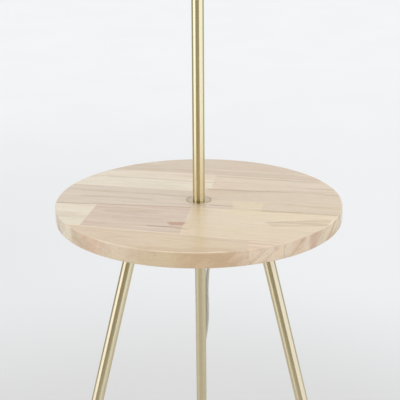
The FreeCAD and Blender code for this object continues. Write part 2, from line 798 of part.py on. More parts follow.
def rounded_section(x, width, thickness):
    """A closed outline across the plug, flat above and below and round at its two sides."""
    r, w = thickness / 2, width / 2 - thickness / 2
    y0, z0 = plug_tip().y, plug_tip().z
    low_left, low_right = Vector(x, y0 - w, z0 - r), Vector(x, y0 + w, z0 - r)
    high_left, high_right = Vector(x, y0 - w, z0 + r), Vector(x, y0 + w, z0 + r)
    return Part.Wire(
        [
            Part.LineSegment(low_left, low_right).toShape(),
            Part.Arc(low_right, Vector(x, y0 + w + r, z0), high_right).toShape(),
            Part.LineSegment(high_right, high_left).toShape(),
            Part.Arc(high_left, Vector(x, y0 - w - r, z0), low_left).toShape(),
        ]
    )


def plug_back():
    """The distance along X at which the plug's body starts."""
    return plug_tip().x - PLUG_RELIEF_LENGTH


def plug_body():
    """The flat plug body, which widens from its relief to the face with the pins."""
    back = plug_back()
    narrow = 2 * CORD_RADIUS + 5.5
    shoulders = Part.makeLoft(
        [
            rounded_section(back, narrow + 4.0, narrow),
            rounded_section(back - 0.35 * PLUG_LENGTH, 0.72 * PLUG_WIDTH, PLUG_THICKNESS),
        ],
        True,
        True,
    )
    front = Part.makeLoft(
        [
            rounded_section(back - 0.35 * PLUG_LENGTH, 0.72 * PLUG_WIDTH, PLUG_THICKNESS),
            rounded_section(back - PLUG_LENGTH, PLUG_WIDTH, PLUG_THICKNESS),
        ],
        True,
        True,
    )
    return shoulders.fuse(front).removeSplitter()


def plug_pins():
    """The two pins, with rounded ends, standing on the plug's face."""
    pins, radius = [], PIN_DIAMETER / 2
    face = plug_back() - PLUG_LENGTH
    for side in (-1, 1):
        base = Vector(face, plug_tip().y + side * PIN_SPACING / 2, plug_tip().z)
        wall = PIN_LENGTH - PIN_BEVEL
        outline = [(0, 0), (radius, 0), (radius, wall), (radius - PIN_BEVEL, PIN_LENGTH), (0, PIN_LENGTH)]
        pins.append(turned(outline, base, Vector(-1, 0, 0)))
    return Part.makeCompound(pins)


def strap_block(width, height, grown, corner):
    """The block inside a strap, grown on its four sides, with its edges along the strap's width
    rounded."""
    block = Part.makeBox(
        width + 2 * grown, TIE_WIDTH, height + 2 * grown, Vector(-grown, 0, -grown)
    )
    corners = [e for e in block.Edges if abs(e.tangentAt(0).y) > 0.9]
    return block.makeFillet(corner, corners)


def coil_tie():
    """The strap round all the turns on the coil's left side, with the coil lying on it."""
    inner_turn = COIL_LEAST_RADIUS + 0.5 * COIL_PITCH
    outer_turn = COIL_LEAST_RADIUS + (COIL_TURNS_PER_LAYER - 0.5) * COIL_PITCH
    curve = TIE_WIDTH**2 / 8 / inner_turn
    near = inner_turn - CORD_RADIUS - WRAP_GAP - curve
    far = outer_turn + CORD_RADIUS + WRAP_GAP
    high = COIL_FLOOR + COIL_PITCH + CORD_RADIUS + WRAP_GAP
    outside = strap_block(far - near, high - TIE_THICKNESS, TIE_THICKNESS, CORD_RADIUS)
    inside = strap_block(far - near, high - TIE_THICKNESS, 0, CORD_RADIUS - TIE_THICKNESS)
    strap = outside.cut(inside)
    strap.translate(Vector(-far, -TIE_WIDTH / 2, TIE_THICKNESS))
    strap.translate(Vector(COIL_CENTRE.x, COIL_CENTRE.y, 0))
    return strap


# ---------------------------------------------------------------- the whole lamp
def all_nodes():
    """Each piece of the lamp, by name."""
    nodes = {
        "tabletop": tabletop(),
        "table_flange": table_flange(),
        "under_washer": under_washer(),
        "hub_nut": hub_nut(),
        "table_stud": hollow_thread(STUD_BOTTOM, TABLE_HEIGHT + THREAD_REACH),
        "cord_relief": cord_relief(),
        "bracket_screws": Part.makeCompound(screws()),
        "pole_foot_insert": threaded_insert(TABLE_HEIGHT, TABLE_HEIGHT + INSERT_LENGTH),
        "pole_lower": pole_section(TABLE_HEIGHT),
        "joint_socket": threaded_insert(POLE_JOINT - INSERT_LENGTH, POLE_JOINT),
        "joint_spigot": joint_spigot(),
        "pole_upper": pole_section(POLE_JOINT),
        "pole_top_insert": threaded_insert(POLE_TOP - INSERT_LENGTH, POLE_TOP),
        "holder_nipple": hollow_thread(POLE_TOP - THREAD_REACH, POLE_TOP + HOLDER_NECK_HEIGHT),
        "holder_base": holder_base(),
        "contact_block": contact_block(),
        "centre_contact": centre_contact(),
        "thread_liner": thread_liner(),
        "holder_shell": holder_shell(),
        "shade_clamp_ring": shade_clamp_ring(),
        "switch_shaft": switch_shaft(),
        "switch_knob": switch_knob(),
        "bulb_tip": bulb_tip(),
        "bulb_cap": bulb_cap(),
        "bulb_glass": bulb_glass(),
        "fitter_ring": fitter_ring(),
        "shade_spokes": shade_spokes(),
        "shade_bottom_ring": shade_ring(SHADE_BOTTOM + WIRE_RADIUS),
        "shade_top_ring": shade_ring(SHADE_TOP - WIRE_RADIUS),
        "shade_fabric": shade_fabric(),
        "inner_lead": rod(CORD_RADIUS, Vector(0, 0, CORD_EXIT), Vector(0, 0, BLOCK_BOTTOM)),
        "cord_drop": cord_tube(straight_and_arcs(drop_route(), "cord_drop"), "cord_drop"),
        "cord_coil": cord_tube(coil_edges(), "cord_coil"),
        "cord_tail": cord_tube(straight_and_arcs(tail_route(), "cord_tail"), "cord_tail"),
        "coil_tie": coil_tie(),
        "plug_relief": plug_relief(),
        "plug_body": plug_body(),
        "plug_pins": plug_pins(),
    }
    for side, azimuth in LEG_AZIMUTHS.items():
        nodes["leg_bracket_" + side] = leg_bracket(azimuth)
        nodes["leg_insert_" + side] = leg_insert(azimuth)
        nodes["leg_" + side] = leg(azimuth)
        nodes["foot_" + side] = foot(azimuth)
    return nodes


def main():
    """Writes one STEP file for each piece."""
    os.makedirs("parts", exist_ok=True)
    for name, shape in all_nodes().items():
        if not shape.isValid():
            print(name, "is not valid")
        shape.exportStep("parts/" + name + ".step")
    print_least_gap(coil_edges())


main()
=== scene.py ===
import math

import bmesh
import bpy
import numpy as np
from mathutils import Matrix, Vector


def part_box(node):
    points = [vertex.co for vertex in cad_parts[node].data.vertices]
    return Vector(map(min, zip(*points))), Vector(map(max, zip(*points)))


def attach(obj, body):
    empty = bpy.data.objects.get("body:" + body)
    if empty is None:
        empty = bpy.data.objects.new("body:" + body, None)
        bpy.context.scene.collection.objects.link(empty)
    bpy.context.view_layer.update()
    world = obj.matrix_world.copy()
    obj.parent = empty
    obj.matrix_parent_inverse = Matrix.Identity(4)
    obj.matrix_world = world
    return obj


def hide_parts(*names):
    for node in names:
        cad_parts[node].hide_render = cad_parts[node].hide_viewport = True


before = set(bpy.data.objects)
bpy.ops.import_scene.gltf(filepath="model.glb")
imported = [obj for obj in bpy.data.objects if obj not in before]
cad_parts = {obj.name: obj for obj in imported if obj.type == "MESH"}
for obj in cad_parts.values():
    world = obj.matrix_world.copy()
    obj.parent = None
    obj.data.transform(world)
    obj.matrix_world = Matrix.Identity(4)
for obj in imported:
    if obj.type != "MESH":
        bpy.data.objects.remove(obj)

bl_info = {
    "name": "Floor lamp with table",
    "version": (1, 0, 0),
    "blender": (4, 5, 0),
    "location": "3D View > Sidebar > Lamp",
    "description": "A brass floor lamp with a round wooden table on three splayed legs",
    "category": "Object",
}

MM = 0.001

# Heights and radii read from the frame, in metres
TABLE_LOW, TABLE_HIGH = (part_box("tabletop")[k].z for k in (0, 1))
TABLE_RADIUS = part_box("tabletop")[1].y
DISC_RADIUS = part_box("table_flange")[1].y
DISC_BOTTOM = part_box("table_flange")[0].z
JOINT_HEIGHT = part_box("pole_upper")[0].z
POLE_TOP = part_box("pole_upper")[1].z
SHADE_LOW, SHADE_HIGH = (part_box("shade_fabric")[k].z for k in (0, 1))
CORD_EXIT, RELIEF_TOP = (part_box("cord_relief")[k].z for k in (0, 1))

# Tubes, and the seats of the disc and the stud in the table
TUBE_RADIUS = 8 * MM
TUBE_BORE = TUBE_RADIUS - 1.2 * MM
POLE_PARTS = (("lower", TABLE_HIGH, JOINT_HEIGHT), ("upper", JOINT_HEIGHT, POLE_TOP))
STUD_RADIUS = 5 * MM
CLEARANCE = 0.05 * MM
SEAT_GAP = 0.5 * MM
SEAT_LIP = 0.3 * MM
DISC_LIP = 0.6 * MM

# Legs: their splay, the circle of their axes under the table, their azimuths, and where along its
# axis a tube starts and ends
LEG_SPLAY = math.radians(15.5)
LEG_TOP_CIRCLE = 92.4 * MM
LEG_AZIMUTHS = {"rear": 90, "left": 210, "right": 330}
LEG_START = 12 * MM
LEG_END = TABLE_LOW / math.cos(LEG_SPLAY) - 6 * MM
FOOT_CIRCLE = LEG_TOP_CIRCLE + TABLE_LOW * math.tan(LEG_SPLAY)

# Bulb: its neck's radius, and the angle on the ball's circle where the neck's curve meets it
BULB_NECK = 12.6 * MM
BULB_MEETING = math.radians(-35)

# Shade: its cloth, the folds, the step and the tuck of its hems, its softened edges, the wire rings
# and the cloth's roll round them, and the lapped seam
SHADE_RADIUS_LOW, SHADE_RADIUS_HIGH = 180 * MM, 150 * MM
SHADE_SLOPE = (SHADE_RADIUS_LOW - SHADE_RADIUS_HIGH) / (SHADE_HIGH - SHADE_LOW)
CLOTH = 1.2 * MM
OUTER_FOLD, INNER_FOLD = 0.35 * MM, 0.3 * MM
HEM_STEP = 0.6 * MM
HEM_TUCK = 2 * MM
EDGE_DROP, EDGE_IN = 0.4 * MM, 0.5 * MM
WIRE_RADIUS = 1.5 * MM
WIRE_ROLL = 2.0 * MM
SEAM_AZIMUTH = math.radians(97)
SEAM_LAP = 0.3 * MM
SEAM_SLOPE = 0.8 * MM
SHADE_SEGMENTS = 720

# Cord and its coil
CORD_RADIUS = 2.5 * MM
COIL_CENTRE = Vector((100 * MM, FOOT_CIRCLE - 17.4 * MM, 0))
COIL_TURNS = 6.5
COIL_PITCH = 5.6 * MM
COIL_LEAST_RADIUS = 18.4 * MM
COIL_FLOOR = 3.55 * MM
COIL_CLIMB_FROM = 3

# The relief under the table: radii, heights above its lower end, and its socket's depth
RELIEF_TIP, RELIEF_ROOT, RELIEF_HEAD, RELIEF_SOCKET = 3.5 * MM, 6.6 * MM, 7 * MM, 5.05 * MM
RELIEF_TAPER, RELIEF_STEP, RELIEF_DEPTH = 15 * MM, 16 * MM, 4 * MM
GROOVE = 0.5 * MM

# The plug: its neck's radii, its rounded edge, its half width and height at the neck, the share of
# its length that swells, the share of its width that tapers evenly, and its girth
NECK_TIP, NECK_ROOT = 3.3 * MM, 4.5 * MM
PLUG_ROUND = 1.6 * MM
PLUG_WIDE, PLUG_TALL = 6.5 * MM, 5.0 * MM
PLUG_SWELL = 0.55
PLUG_TAPER = 0.2
PLUG_GIRTH = 80 * MM


def srgb(*values):
    """The linear colour of three numbers from 0 to 255 as a screen shows them."""
    v = np.asarray(values, float) / 255
    linear = np.where(v <= 0.04045, v / 12.92, ((v + 0.055) / 1.055) ** 2.4)
    return (*linear.tolist(), 1.0)


def tinted(colour, gain):
    """A colour times a gain, held under 1."""
    return [min(1, c * gain) for c in colour[:3]] + [1]


# ---------------------------------------------------------------- meshes
def rounded(corners):
    """The outline through corners (radius, height, rounding). Each rounded corner P becomes the
    curve (1-t)^2 A + 2t(1-t) P + t^2 B between A and B, which lie at the rounding's distance from P
    towards its neighbours."""
    corners = np.asarray(corners, float)
    t = np.linspace(0, 1, 6)[:, None]
    out = []
    for k, (r, h, reach) in enumerate(corners):
        here = np.array([r, h])
        if reach <= 0:
            out.append(here[None])
            continue
        sides = []
        for other in (corners[k - 1][:2], corners[(k + 1) % len(corners)][:2]):
            way = other - here
            sides.append(here + way * (reach / np.linalg.norm(way)))
        out.append((1 - t) ** 2 * sides[0] + 2 * t * (1 - t) * here + t**2 * sides[1])
    return np.concatenate(out)


def surface(name, points, along, across, closed_rows=False):
    """The mesh of a grid of points: rows x columns x 3, joined round along its columns, and along its
    rows too if closed. Its UV map holds the lengths along and across the surface, in metres."""
    rows, columns = points.shape[:2]
    i = np.arange(rows if closed_rows else rows - 1)[:, None]
    j = np.arange(columns)[None, :]
    nexti, nextj = (i + 1) % rows, (j + 1) % columns
    corners = [(i, j), (i, nextj), (nexti, nextj), (nexti, j)]
    quads = np.stack([a * columns + b for a, b in corners], -1).reshape(-1, 4)
    u = np.stack([across[j + k] + 0 * i for k in (0, 1, 1, 0)], -1)
    v = np.stack([along[i + k] + 0 * j for k in (0, 0, 1, 1)], -1)
    mesh = bpy.data.meshes.new(name)
    mesh.from_pydata(points.reshape(-1, 3).tolist(), [], quads.tolist())
    mesh.uv_layers.new(name="lengths").data.foreach_set("uv", np.stack([u, v], -1).ravel())
    shape = bmesh.new()
    shape.from_mesh(mesh)
    bmesh.ops.remove_doubles(shape, verts=shape.verts, dist=1e-6)
    if shape.calc_volume(signed=True) < 0:
        bmesh.ops.reverse_faces(shape, faces=shape.faces)
    shape.to_mesh(mesh)
    shape.free()
    mesh.shade_smooth()
    mesh.set_sharp_from_angle(angle=math.radians(50))
    return mesh


def piece(name, mesh, material, slot, *replaced):
    """An object at the origin that holds a mesh, wears a material, rides with the lamp and stands for
    CAD nodes. The slot is not used."""
    obj = bpy.data.objects.new(name, mesh)
    bpy.context.scene.collection.objects.link(obj)
    mesh.materials.append(material)
    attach(obj, "lamp")
    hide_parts(*replaced)
    return obj


def run_length(outline):
    """The length run at each point of a closed outline, and on return to the first."""
    ends = np.vstack([outline, outline[:1]])
    return np.concatenate([[0], np.cumsum(np.linalg.norm(np.diff(ends, axis=0), axis=1))])


def turned(name, outline, segments=96, place=None, closed=True, swell=0.0):
    """A surface of revolution: the outline point (r, h) at the angle t is at (r cos t, r sin t, h), set
    in its place. The swell, a number or rows x segments, is added to r."""
    outline = np.asarray(outline, float)
    r, h = outline.T
    t = np.linspace(0, 2 * np.pi, segments, endpoint=False)
    reach = r[:, None] + swell
    points = np.stack([reach * np.cos(t), reach * np.sin(t), h[:, None] + 0 * t], -1)
    if place is not None:
        turn, move = np.array(place.to_3x3()), np.array(place.translation)
        points = points @ turn.T + move
    across = np.linspace(0, 2 * np.pi * r.max(), segments + 1)
    return surface(name, points, run_length(outline), across, closed)


def tube_outline(low, high, lip):
    """The closed outline of a tube with softened ends."""
    corners = [(TUBE_BORE, low, lip / 2), (TUBE_RADIUS, low, lip)]
    corners += [(TUBE_RADIUS, high, lip), (TUBE_BORE, high, lip / 2)]
    return rounded(corners)


def leg_place(azimuth):
    """The place of a leg: its origin on the table's underside, its Z running down along the leg."""
    angle = math.radians(azimuth)
    top = Vector((LEG_TOP_CIRCLE * math.cos(angle), LEG_TOP_CIRCLE * math.sin(angle), TABLE_LOW))
    tilt = Matrix.Rotation(math.pi - LEG_SPLAY, 4, "Y")
    return Matrix.Translation(top) @ Matrix.Rotation(angle, 4, "Z") @ tilt


# ---------------------------------------------------------------- materials
class Finish:
    """A node material, put together step by step."""

    def __init__(self, name):
        self.material = bpy.data.materials.new(name)
        self.material.use_nodes = True
        self.tree = self.material.node_tree
        self.shader = self.tree.nodes["Principled BSDF"]

    def node(self, kind, inputs=(), **settings):
        """A node with its settings. Each input is a number, a colour or another node's output."""
        node = self.tree.nodes.new("ShaderNode" + kind)
        for key, value in settings.items():
            setattr(node, key, value)
        for key, value in dict(inputs).items():
            if isinstance(value, bpy.types.NodeSocket):
                self.tree.links.new(value, node.inputs[key])
            else:
                node.inputs[key].default_value = value
        return node

    def set(self, **values):
        """Sets the shader's sockets: base_color stands for Base Color, and so on."""
        for key, value in values.items():
            socket = self.shader.inputs[SOCKETS.get(key, key.replace("_", " ").title())]
            if isinstance(value, bpy.types.NodeSocket):
                self.tree.links.new(value, socket)
            else:
                socket.default_value = value

    def place(self, scale=(1, 1, 1), turn=0.0, tilt=0.0, uv=False):
        """Object coordinates, or the UV map's lengths, turned about Z, tilted about Y and scaled."""
        vector = self.node("TexCoord").outputs["UV" if uv else "Object"]
        for settings in ({"Rotation": (0, 0, turn)}, {"Rotation": (0, tilt, 0)}, {"Scale": scale}):
            vector = self.node("Mapping", {"Vector": vector, **settings}).outputs[0]
        return vector

    def noise(self, vector, detail=3.0, rough=0.5, waves=0.0):
        """Noise from 0 to 1, its pattern bent by waves."""
        inputs = {"Vector": vector, "Scale": 1.0, "Detail": detail, "Roughness": rough}
        inputs["Distortion"] = waves
        return self.node("TexNoise", inputs).outputs[0]

    def span(self, value, low, high, to_low=0.0, to_high=1.0, smooth=False):
        """A value's span from low to high carried to another span, and held at its ends."""
        kind = "SMOOTHSTEP" if smooth else "LINEAR"
        inputs = {0: value, 1: low, 2: high, 3: to_low, 4: to_high}
        return self.node("MapRange", inputs, interpolation_type=kind).outputs[0]

    def mix(self, share, first, second):
        """Two colours, mixed by share."""
        return self.node("Mix", {0: share, 6: first, 7: second}, data_type="RGBA").outputs[2]

    def sum(self, kind, first, second=0.5):
        """One step of arithmetic."""
        return self.node("Math", {0: first, 1: second}, operation=kind).outputs[0]

    def bump(self, height, distance):
        """Bumps from a height, for the shader's normal."""
        self.set(normal=self.node("Bump", {"Height": height, "Distance": distance}).outputs[0])

    def show(self, node):
        """Shows a node's output in place of the shader's."""
        out = next(n for n in self.tree.nodes if n.type == "OUTPUT_MATERIAL")
        self.tree.links.new(node.outputs[0], out.inputs[0])


SOCKETS = {"specular_ior_level": "Specular IOR Level"}

# Painted shade: the legs under the table are a little darker and bluer than the pole, and the disc at
# the pole's foot much darker
LEG_SHADE_TONE = (0.90, 0.89, 0.95)
DISC_SHADE_TONE = (0.68, 0.63, 0.66)


def brass(name, colour, fine, uv):
    """Satin brass plate under clear lacquer. Its fine brushing draws the gloss out along the tubes."""
    f = Finish(name)
    lines = f.noise(f.place(fine, uv=uv), detail=4, rough=0.7)
    cloud = f.noise(f.place((14, 14, 14), uv=uv), detail=2)
    base = f.mix(f.span(cloud, 0.35, 0.65), colour, tinted(colour, 1.03))
    base = f.mix(f.span(lines, 0.3, 0.7), base, f.mix(0.6, base, tinted(colour, 0.93)))
    f.set(base_color=base, metallic=1.0, coat_weight=0.2, coat_roughness=0.1)
    if uv:
        tangent = f.node("Tangent", direction_type="UV_MAP", uv_map="lengths")
        f.set(tangent=tangent.outputs[0], anisotropic=1.0, anisotropic_rotation=0.25)
        f.set(roughness=f.span(lines, 0.3, 0.7, 0.26, 0.31))
    else:
        f.set(roughness=f.span(lines, 0.3, 0.7, 0.14, 0.22))
    f.bump(lines, 0.001 * MM)
    return f.material


def grained(name, colour, metallic, rough, grain, depth, tint=0.06, **more):
    """A moulded, cast or plated finish: grain of a size in metres gives its bumps and varies its
    gloss, and slow clouds vary its colour."""
    f = Finish(name)
    fine = f.noise(f.place((1 / grain,) * 3), detail=3)
    cloud = f.noise(f.place((60, 60, 60)), detail=3, rough=0.6)
    base = f.mix(f.span(cloud, 0.3, 0.7), tinted(colour, 1 - tint), tinted(colour, 1 + tint))
    f.set(base_color=base, metallic=metallic)
    f.set(roughness=f.span(fine, 0.3, 0.7, rough - 0.05, rough + 0.05), **more)
    f.bump(fine, depth)
    return f.material


def woven(name, colour, pitch, depth, tint, uv):
    """Plain weave: threads one way and the other, over and under by turns, each thread's thickness
    and tone a little different, with a few thick slubs. The hollows between the threads are darker:
    painted shade."""
    f = Finish(name)
    axes = f.node("SeparateXYZ", {0: f.place((1 / pitch,) * 3, uv=uv)}).outputs
    waves = []
    for k, other in ((0, 1), (1, 0)):
        wave = f.sum("SINE", f.sum("MULTIPLY", axes[k], math.pi))
        flip = f.sum("SINE", f.sum("MULTIPLY", axes[other], math.pi))
        waves.append(f.sum("MULTIPLY", f.sum("ABSOLUTE", wave), f.span(flip, -1, 1, 0.6, 1)))
    height = f.sum("MAXIMUM", waves[0], waves[1])
    threads = [
        f.noise(f.place(tuple(s / pitch for s in scale), uv=uv), detail=1)
        for scale in ((1, 0.02, 1), (0.02, 1, 1))
    ]
    shade = f.sum("ADD", f.span(threads[0], 0.35, 0.65), f.span(threads[1], 0.35, 0.65))
    slubs = f.span(threads[0], 0.66, 0.72, 0, 0.5)
    base = f.mix(f.span(shade, 0.4, 1.6), tinted(colour, 1 - tint), tinted(colour, 1 + tint))
    # Painted shade: darker where the threads dip into the hollows between them
    base = f.mix(f.span(height, 0.25, 0.7), tinted(colour, 1 - 2.5 * tint), base)
    f.set(base_color=base, roughness=0.85)
    f.bump(f.sum("ADD", height, slubs), depth)
    return f.material


# Boards of the glued top: name, tone on a screen, and corners in millimetres. The first is the ground
# that the others lie on
BOARDS = (
    ("back", (209, 192, 171), ()),
    ("second_left", (229, 218, 199), ((-200, 162), (-200, 77.6), (22, 29.1), (24, 111))),
    ("second_right", (223, 206, 186), ((25, 111), (17, 44), (200, 25.4), (200, 71))),
    ("middle_left", (217, 202, 185), ((-200, 77.6), (-200, -6), (8, -31), (8, 32.2))),
    ("middle_right", (219, 202, 181), ((8, 48.4), (8, -39.4), (200, -72), (200, 25.4))),
    ("third_left", (231, 220, 202), ((-210, -4.8), (-210, -78), (-149, -95), (-134, -14))),
    ("third_middle", (217, 198, 181), ((-134, -14), (-149, -94.4), (-22, -128), (-10, -28.8))),
    ("third_right", (230, 213, 190), ((-10, -28.8), (-24, -127.6), (210, -190), (210, -73))),
    ("front", (222, 203, 180), ((-210, -78.1), (-210, -240), (58, -240), (58, -149.4))),
    ("front_end", (233, 213, 191), ((58, -149.4), (58, -240), (210, -240), (210, -189.9))),
)

# Streaks, the knot and the glue lines: tone, strength, softness of the edges in millimetres, corners
MARKS = (
    ((192, 172, 150), 0.50, 3, ((-128, 108), (-128, 104.5), (25, 71), (25, 75))),
    ((210, 190, 170), 0.70, 5, ((12, 49), (12, 32), (190, 16), (190, 27))),
    ((186, 166, 144), 0.65, 2.5, ((12, 47), (12, 42), (96, 31), (96, 35))),
    ((192, 174, 150), 0.55, 2.5, ((92, 36), (92, 32), (190, 10), (190, 14))),
    ((196, 178, 156), 0.55, 3, ((25, 106), (25, 100), (170, 66), (170, 71))),
    ((180, 160, 138), 0.65, 2.2, ((-190, -3), (-190, -6.5), (0, -34), (0, -30))),
    ((196, 178, 156), 0.50, 3, ((-90, 33), (-90, 29), (-10, 12), (-10, 16))),
    ((197, 178, 160), 0.45, 4, ((-160, 26), (-160, 18), (-60, 0), (-60, 6))),
    ((184, 162, 142), 0.70, 2.5, ((14, -21), (14, -25), (52, -31), (52, -27))),
    ((188, 170, 136), 0.40, 3, ((52, -41), (52, -46), (186, -68), (186, -63))),
    ((206, 184, 158), 0.60, 5, ((84, -88), (90, -104), (170, -104), (164, -84))),
    ((186, 166, 138), 0.45, 2, ((82, -88), (83, -92), (166, -82), (166, -79))),
    ((229, 214, 184), 0.70, 5, ((46, -8), (43, -52), (78, -60), (86, -14))),
    ((188, 152, 128), 0.85, 4, ((-40, -84), (-36, -98), (-20, -98), (-15, -84))),
    ((156, 130, 100), 0.60, 3, ((-66, -94), (-64, -98), (-14, -114), (-16, -108))),
    ((188, 166, 148), 0.35, 7, ((-124, -36), (-122, -44), (-50, -56), (-50, -46))),
    ((190, 168, 150), 0.30, 4, ((-110, -62), (-110, -66), (-46, -78), (-46, -72))),
    ((226, 205, 178), 0.60, 3, ((-10, -28), (-24, -128), (-12, -128), (2, -30))),
    ((196, 170, 140), 0.35, 9, ((-120, -168), (-60, -186), (40, -200), (40, -178))),
    ((243, 228, 204), 0.80, 0.8, ((-172, -87.7), (-172, -89.2), (34, -144), (34, -142.3))),
    ((190, 168, 146), 0.55, 0.8, ((-190, 160.4), (-190, 159.0), (200, 70.2), (200, 71.4))),
    ((190, 168, 146), 0.50, 0.8, ((-200, 78.2), (-200, 77.0), (8, 31.5), (8, 32.7))),
    ((188, 166, 144), 0.40, 0.8, ((58, -148.8), (58, -150), (110, -164), (110, -162.6))),
)

# Streaks on the rim: tone, strength, softness and corners, as above
RIM_MARKS = (
    ((255, 244, 226), 0.85, 4, ((-200, 20), (-200, -122), (-158, -124), (-162, 20))),
    ((206, 160, 122), 0.50, 14, ((-142, -100), (-142, -200), (-118, -200), (-118, -100))),
    ((196, 156, 118), 0.45, 26, ((-30, -160), (-30, -220), (52, -220), (52, -160))),
    ((228, 192, 160), 0.55, 8, ((112, -100), (112, -170), (128, -170), (128, -100))),
    ((198, 154, 124), 0.60, 5, ((134, -90), (134, -160), (144, -160), (144, -90))),
    ((250, 232, 206), 0.80, 10, ((158, 20), (158, -120), (210, -120), (210, 20))),
)
BOARD_TURN = math.radians(12.3)
BOARDS_AROUND = math.radians(0.7)
LACQUER_VEIL = 0.14

# How far a board's tone, channel by channel, shifts the noise of its grain
BOARD_SHIFT = (9.0, 23.0, 31.0)

# In millimetres: the softness of the joints between boards, and the least of marks bent by the grain
JOINT_SOFTNESS = 0.6
LEAST_BENT = 1.0


def inside(f, coordinates, corners, soft):
    """1 inside the upright prism on a convex outline and 0 outside it: the product, over the
    outline's edges, of how far within the edge a point lies, held between 0 and 1."""
    middle = np.mean(corners, axis=0)
    share = None
    for a, b in zip(corners, corners[1:] + corners[:1]):
        normal = np.array([a[1] - b[1], b[0] - a[0]], float)
        normal /= np.linalg.norm(normal)
        if np.dot(middle - np.array(a), normal) < 0:
            normal = -normal
        inputs = {0: coordinates, 1: (*normal.tolist(), 0)}
        depth = f.node("VectorMath", inputs, operation="DOT_PRODUCT").outputs["Value"]
        edge = float(np.dot(a, normal)) * MM
        side = f.span(depth, edge - soft * MM / 2, edge + soft * MM / 2)
        share = side if share is None else f.sum("MULTIPLY", share, side)
    return share


def scaled(f, colour, gain, offset=(0.0, 0.0, 0.0)):
    """A colour or vector times a gain plus an offset, channel by channel."""
    inputs = {0: colour, 1: gain, 2: offset}
    return f.node("VectorMath", inputs, operation="MULTIPLY_ADD").outputs[0]


def marked(f, colour, marks, place, where=1.0):
    """A colour with marks drawn on it. Place gives the coordinates for a mark's softness, and where
    holds the marks back."""
    for tone, strength, soft, corners in marks:
        share = f.sum("MULTIPLY", inside(f, place(soft), corners, soft), strength)
        colour = f.mix(f.sum("MULTIPLY", share, where), colour, srgb(*tone))
    return colour


def veined(f, colour, boards):
    """A colour with the wood's grain: figure, clouds, fibres and pores, each noise drawn out along the
    boards and shifted by their tone, so that it breaks at the joints. Also gives the two finest."""
    shift = scaled(f, boards, BOARD_SHIFT)

    def grain(stretch, detail, rough=0.5, waves=0.0):
        """Noise drawn out along the boards, shifted from one board to the next."""
        vector = f.place(stretch, turn=BOARD_TURN - BOARDS_AROUND)
        moved = f.node("VectorMath", {0: vector, 1: shift}, operation="ADD").outputs[0]
        return f.noise(moved, detail, rough, waves)

    figure = grain((5.5, 75, 75), 3, 0.6, 0.9)
    clouds = grain((3.5, 16, 16), 2)
    fibres = grain((28, 620, 620), 3, 0.65, 0.4)
    pores = grain((90, 1500, 1500), 1)
    layers = (
        (figure, 0.52, 0.74, 0.50, True, (192, 166, 138)),
        (figure, 0.46, 0.26, 0.40, True, (240, 226, 202)),
        (clouds, 0.55, 0.75, 0.30, True, (219, 186, 160)),
        (clouds, 0.45, 0.25, 0.25, True, (232, 215, 176)),
        (fibres, 0.50, 0.75, 0.35, False, (184, 156, 126)),
        (pores, 0.66, 0.74, 0.30, False, (150, 122, 96)),
    )
    for noise, low, high, most, smooth, tone in layers:
        colour = f.mix(f.span(noise, low, high, 0, most, smooth), colour, srgb(*tone))
    return colour, fibres, pores


def streaked_rim(f, colour, boards, rim, right):
    """A colour with the rim's slanting streaks, which show most on its right side."""
    vector = f.place((9, 60, 110), turn=math.radians(-38), tilt=math.radians(36))
    moved = {0: vector, 1: scaled(f, boards, BOARD_SHIFT)}
    slant = f.noise(f.node("VectorMath", moved, operation="ADD").outputs[0], 3, 0.6, 0.5)
    share = f.sum("MULTIPLY", rim, f.span(right, 20 * MM, 70 * MM, 0.35, 1.0))
    dark = f.sum("MULTIPLY", share, f.span(slant, 0.50, 0.64, 0, 0.75, True))
    pale = f.sum("MULTIPLY", share, f.span(slant, 0.48, 0.36, 0, 0.60, True))
    colour = f.mix(dark, colour, srgb(206, 164, 132))
    return f.mix(pale, colour, srgb(238, 214, 180))


def painted_arris_highlight(f, colour, radius, right):
    """A colour with a painted highlight along the upper arris, patchy, and least at the left end."""
    # Painted highlight: a pale line on the rounded upper arris
    edge = f.span(radius, TABLE_RADIUS - 1.9 * MM, TABLE_RADIUS - 1.3 * MM)
    outer = f.span(radius, TABLE_RADIUS - 0.5 * MM, TABLE_RADIUS - 0.2 * MM, 1, 0)
    highlight_share = f.span(f.noise(f.place((14, 14, 14)), detail=2), 0.40, 0.60, 0.15, 0.85)
    highlight_share = f.sum("MULTIPLY", highlight_share, f.span(right, -160 * MM, -120 * MM, 0.25, 1.0))
    arris = f.sum("MULTIPLY", f.sum("MULTIPLY", edge, outer), highlight_share)
    return f.mix(arris, colour, srgb(252, 238, 216))


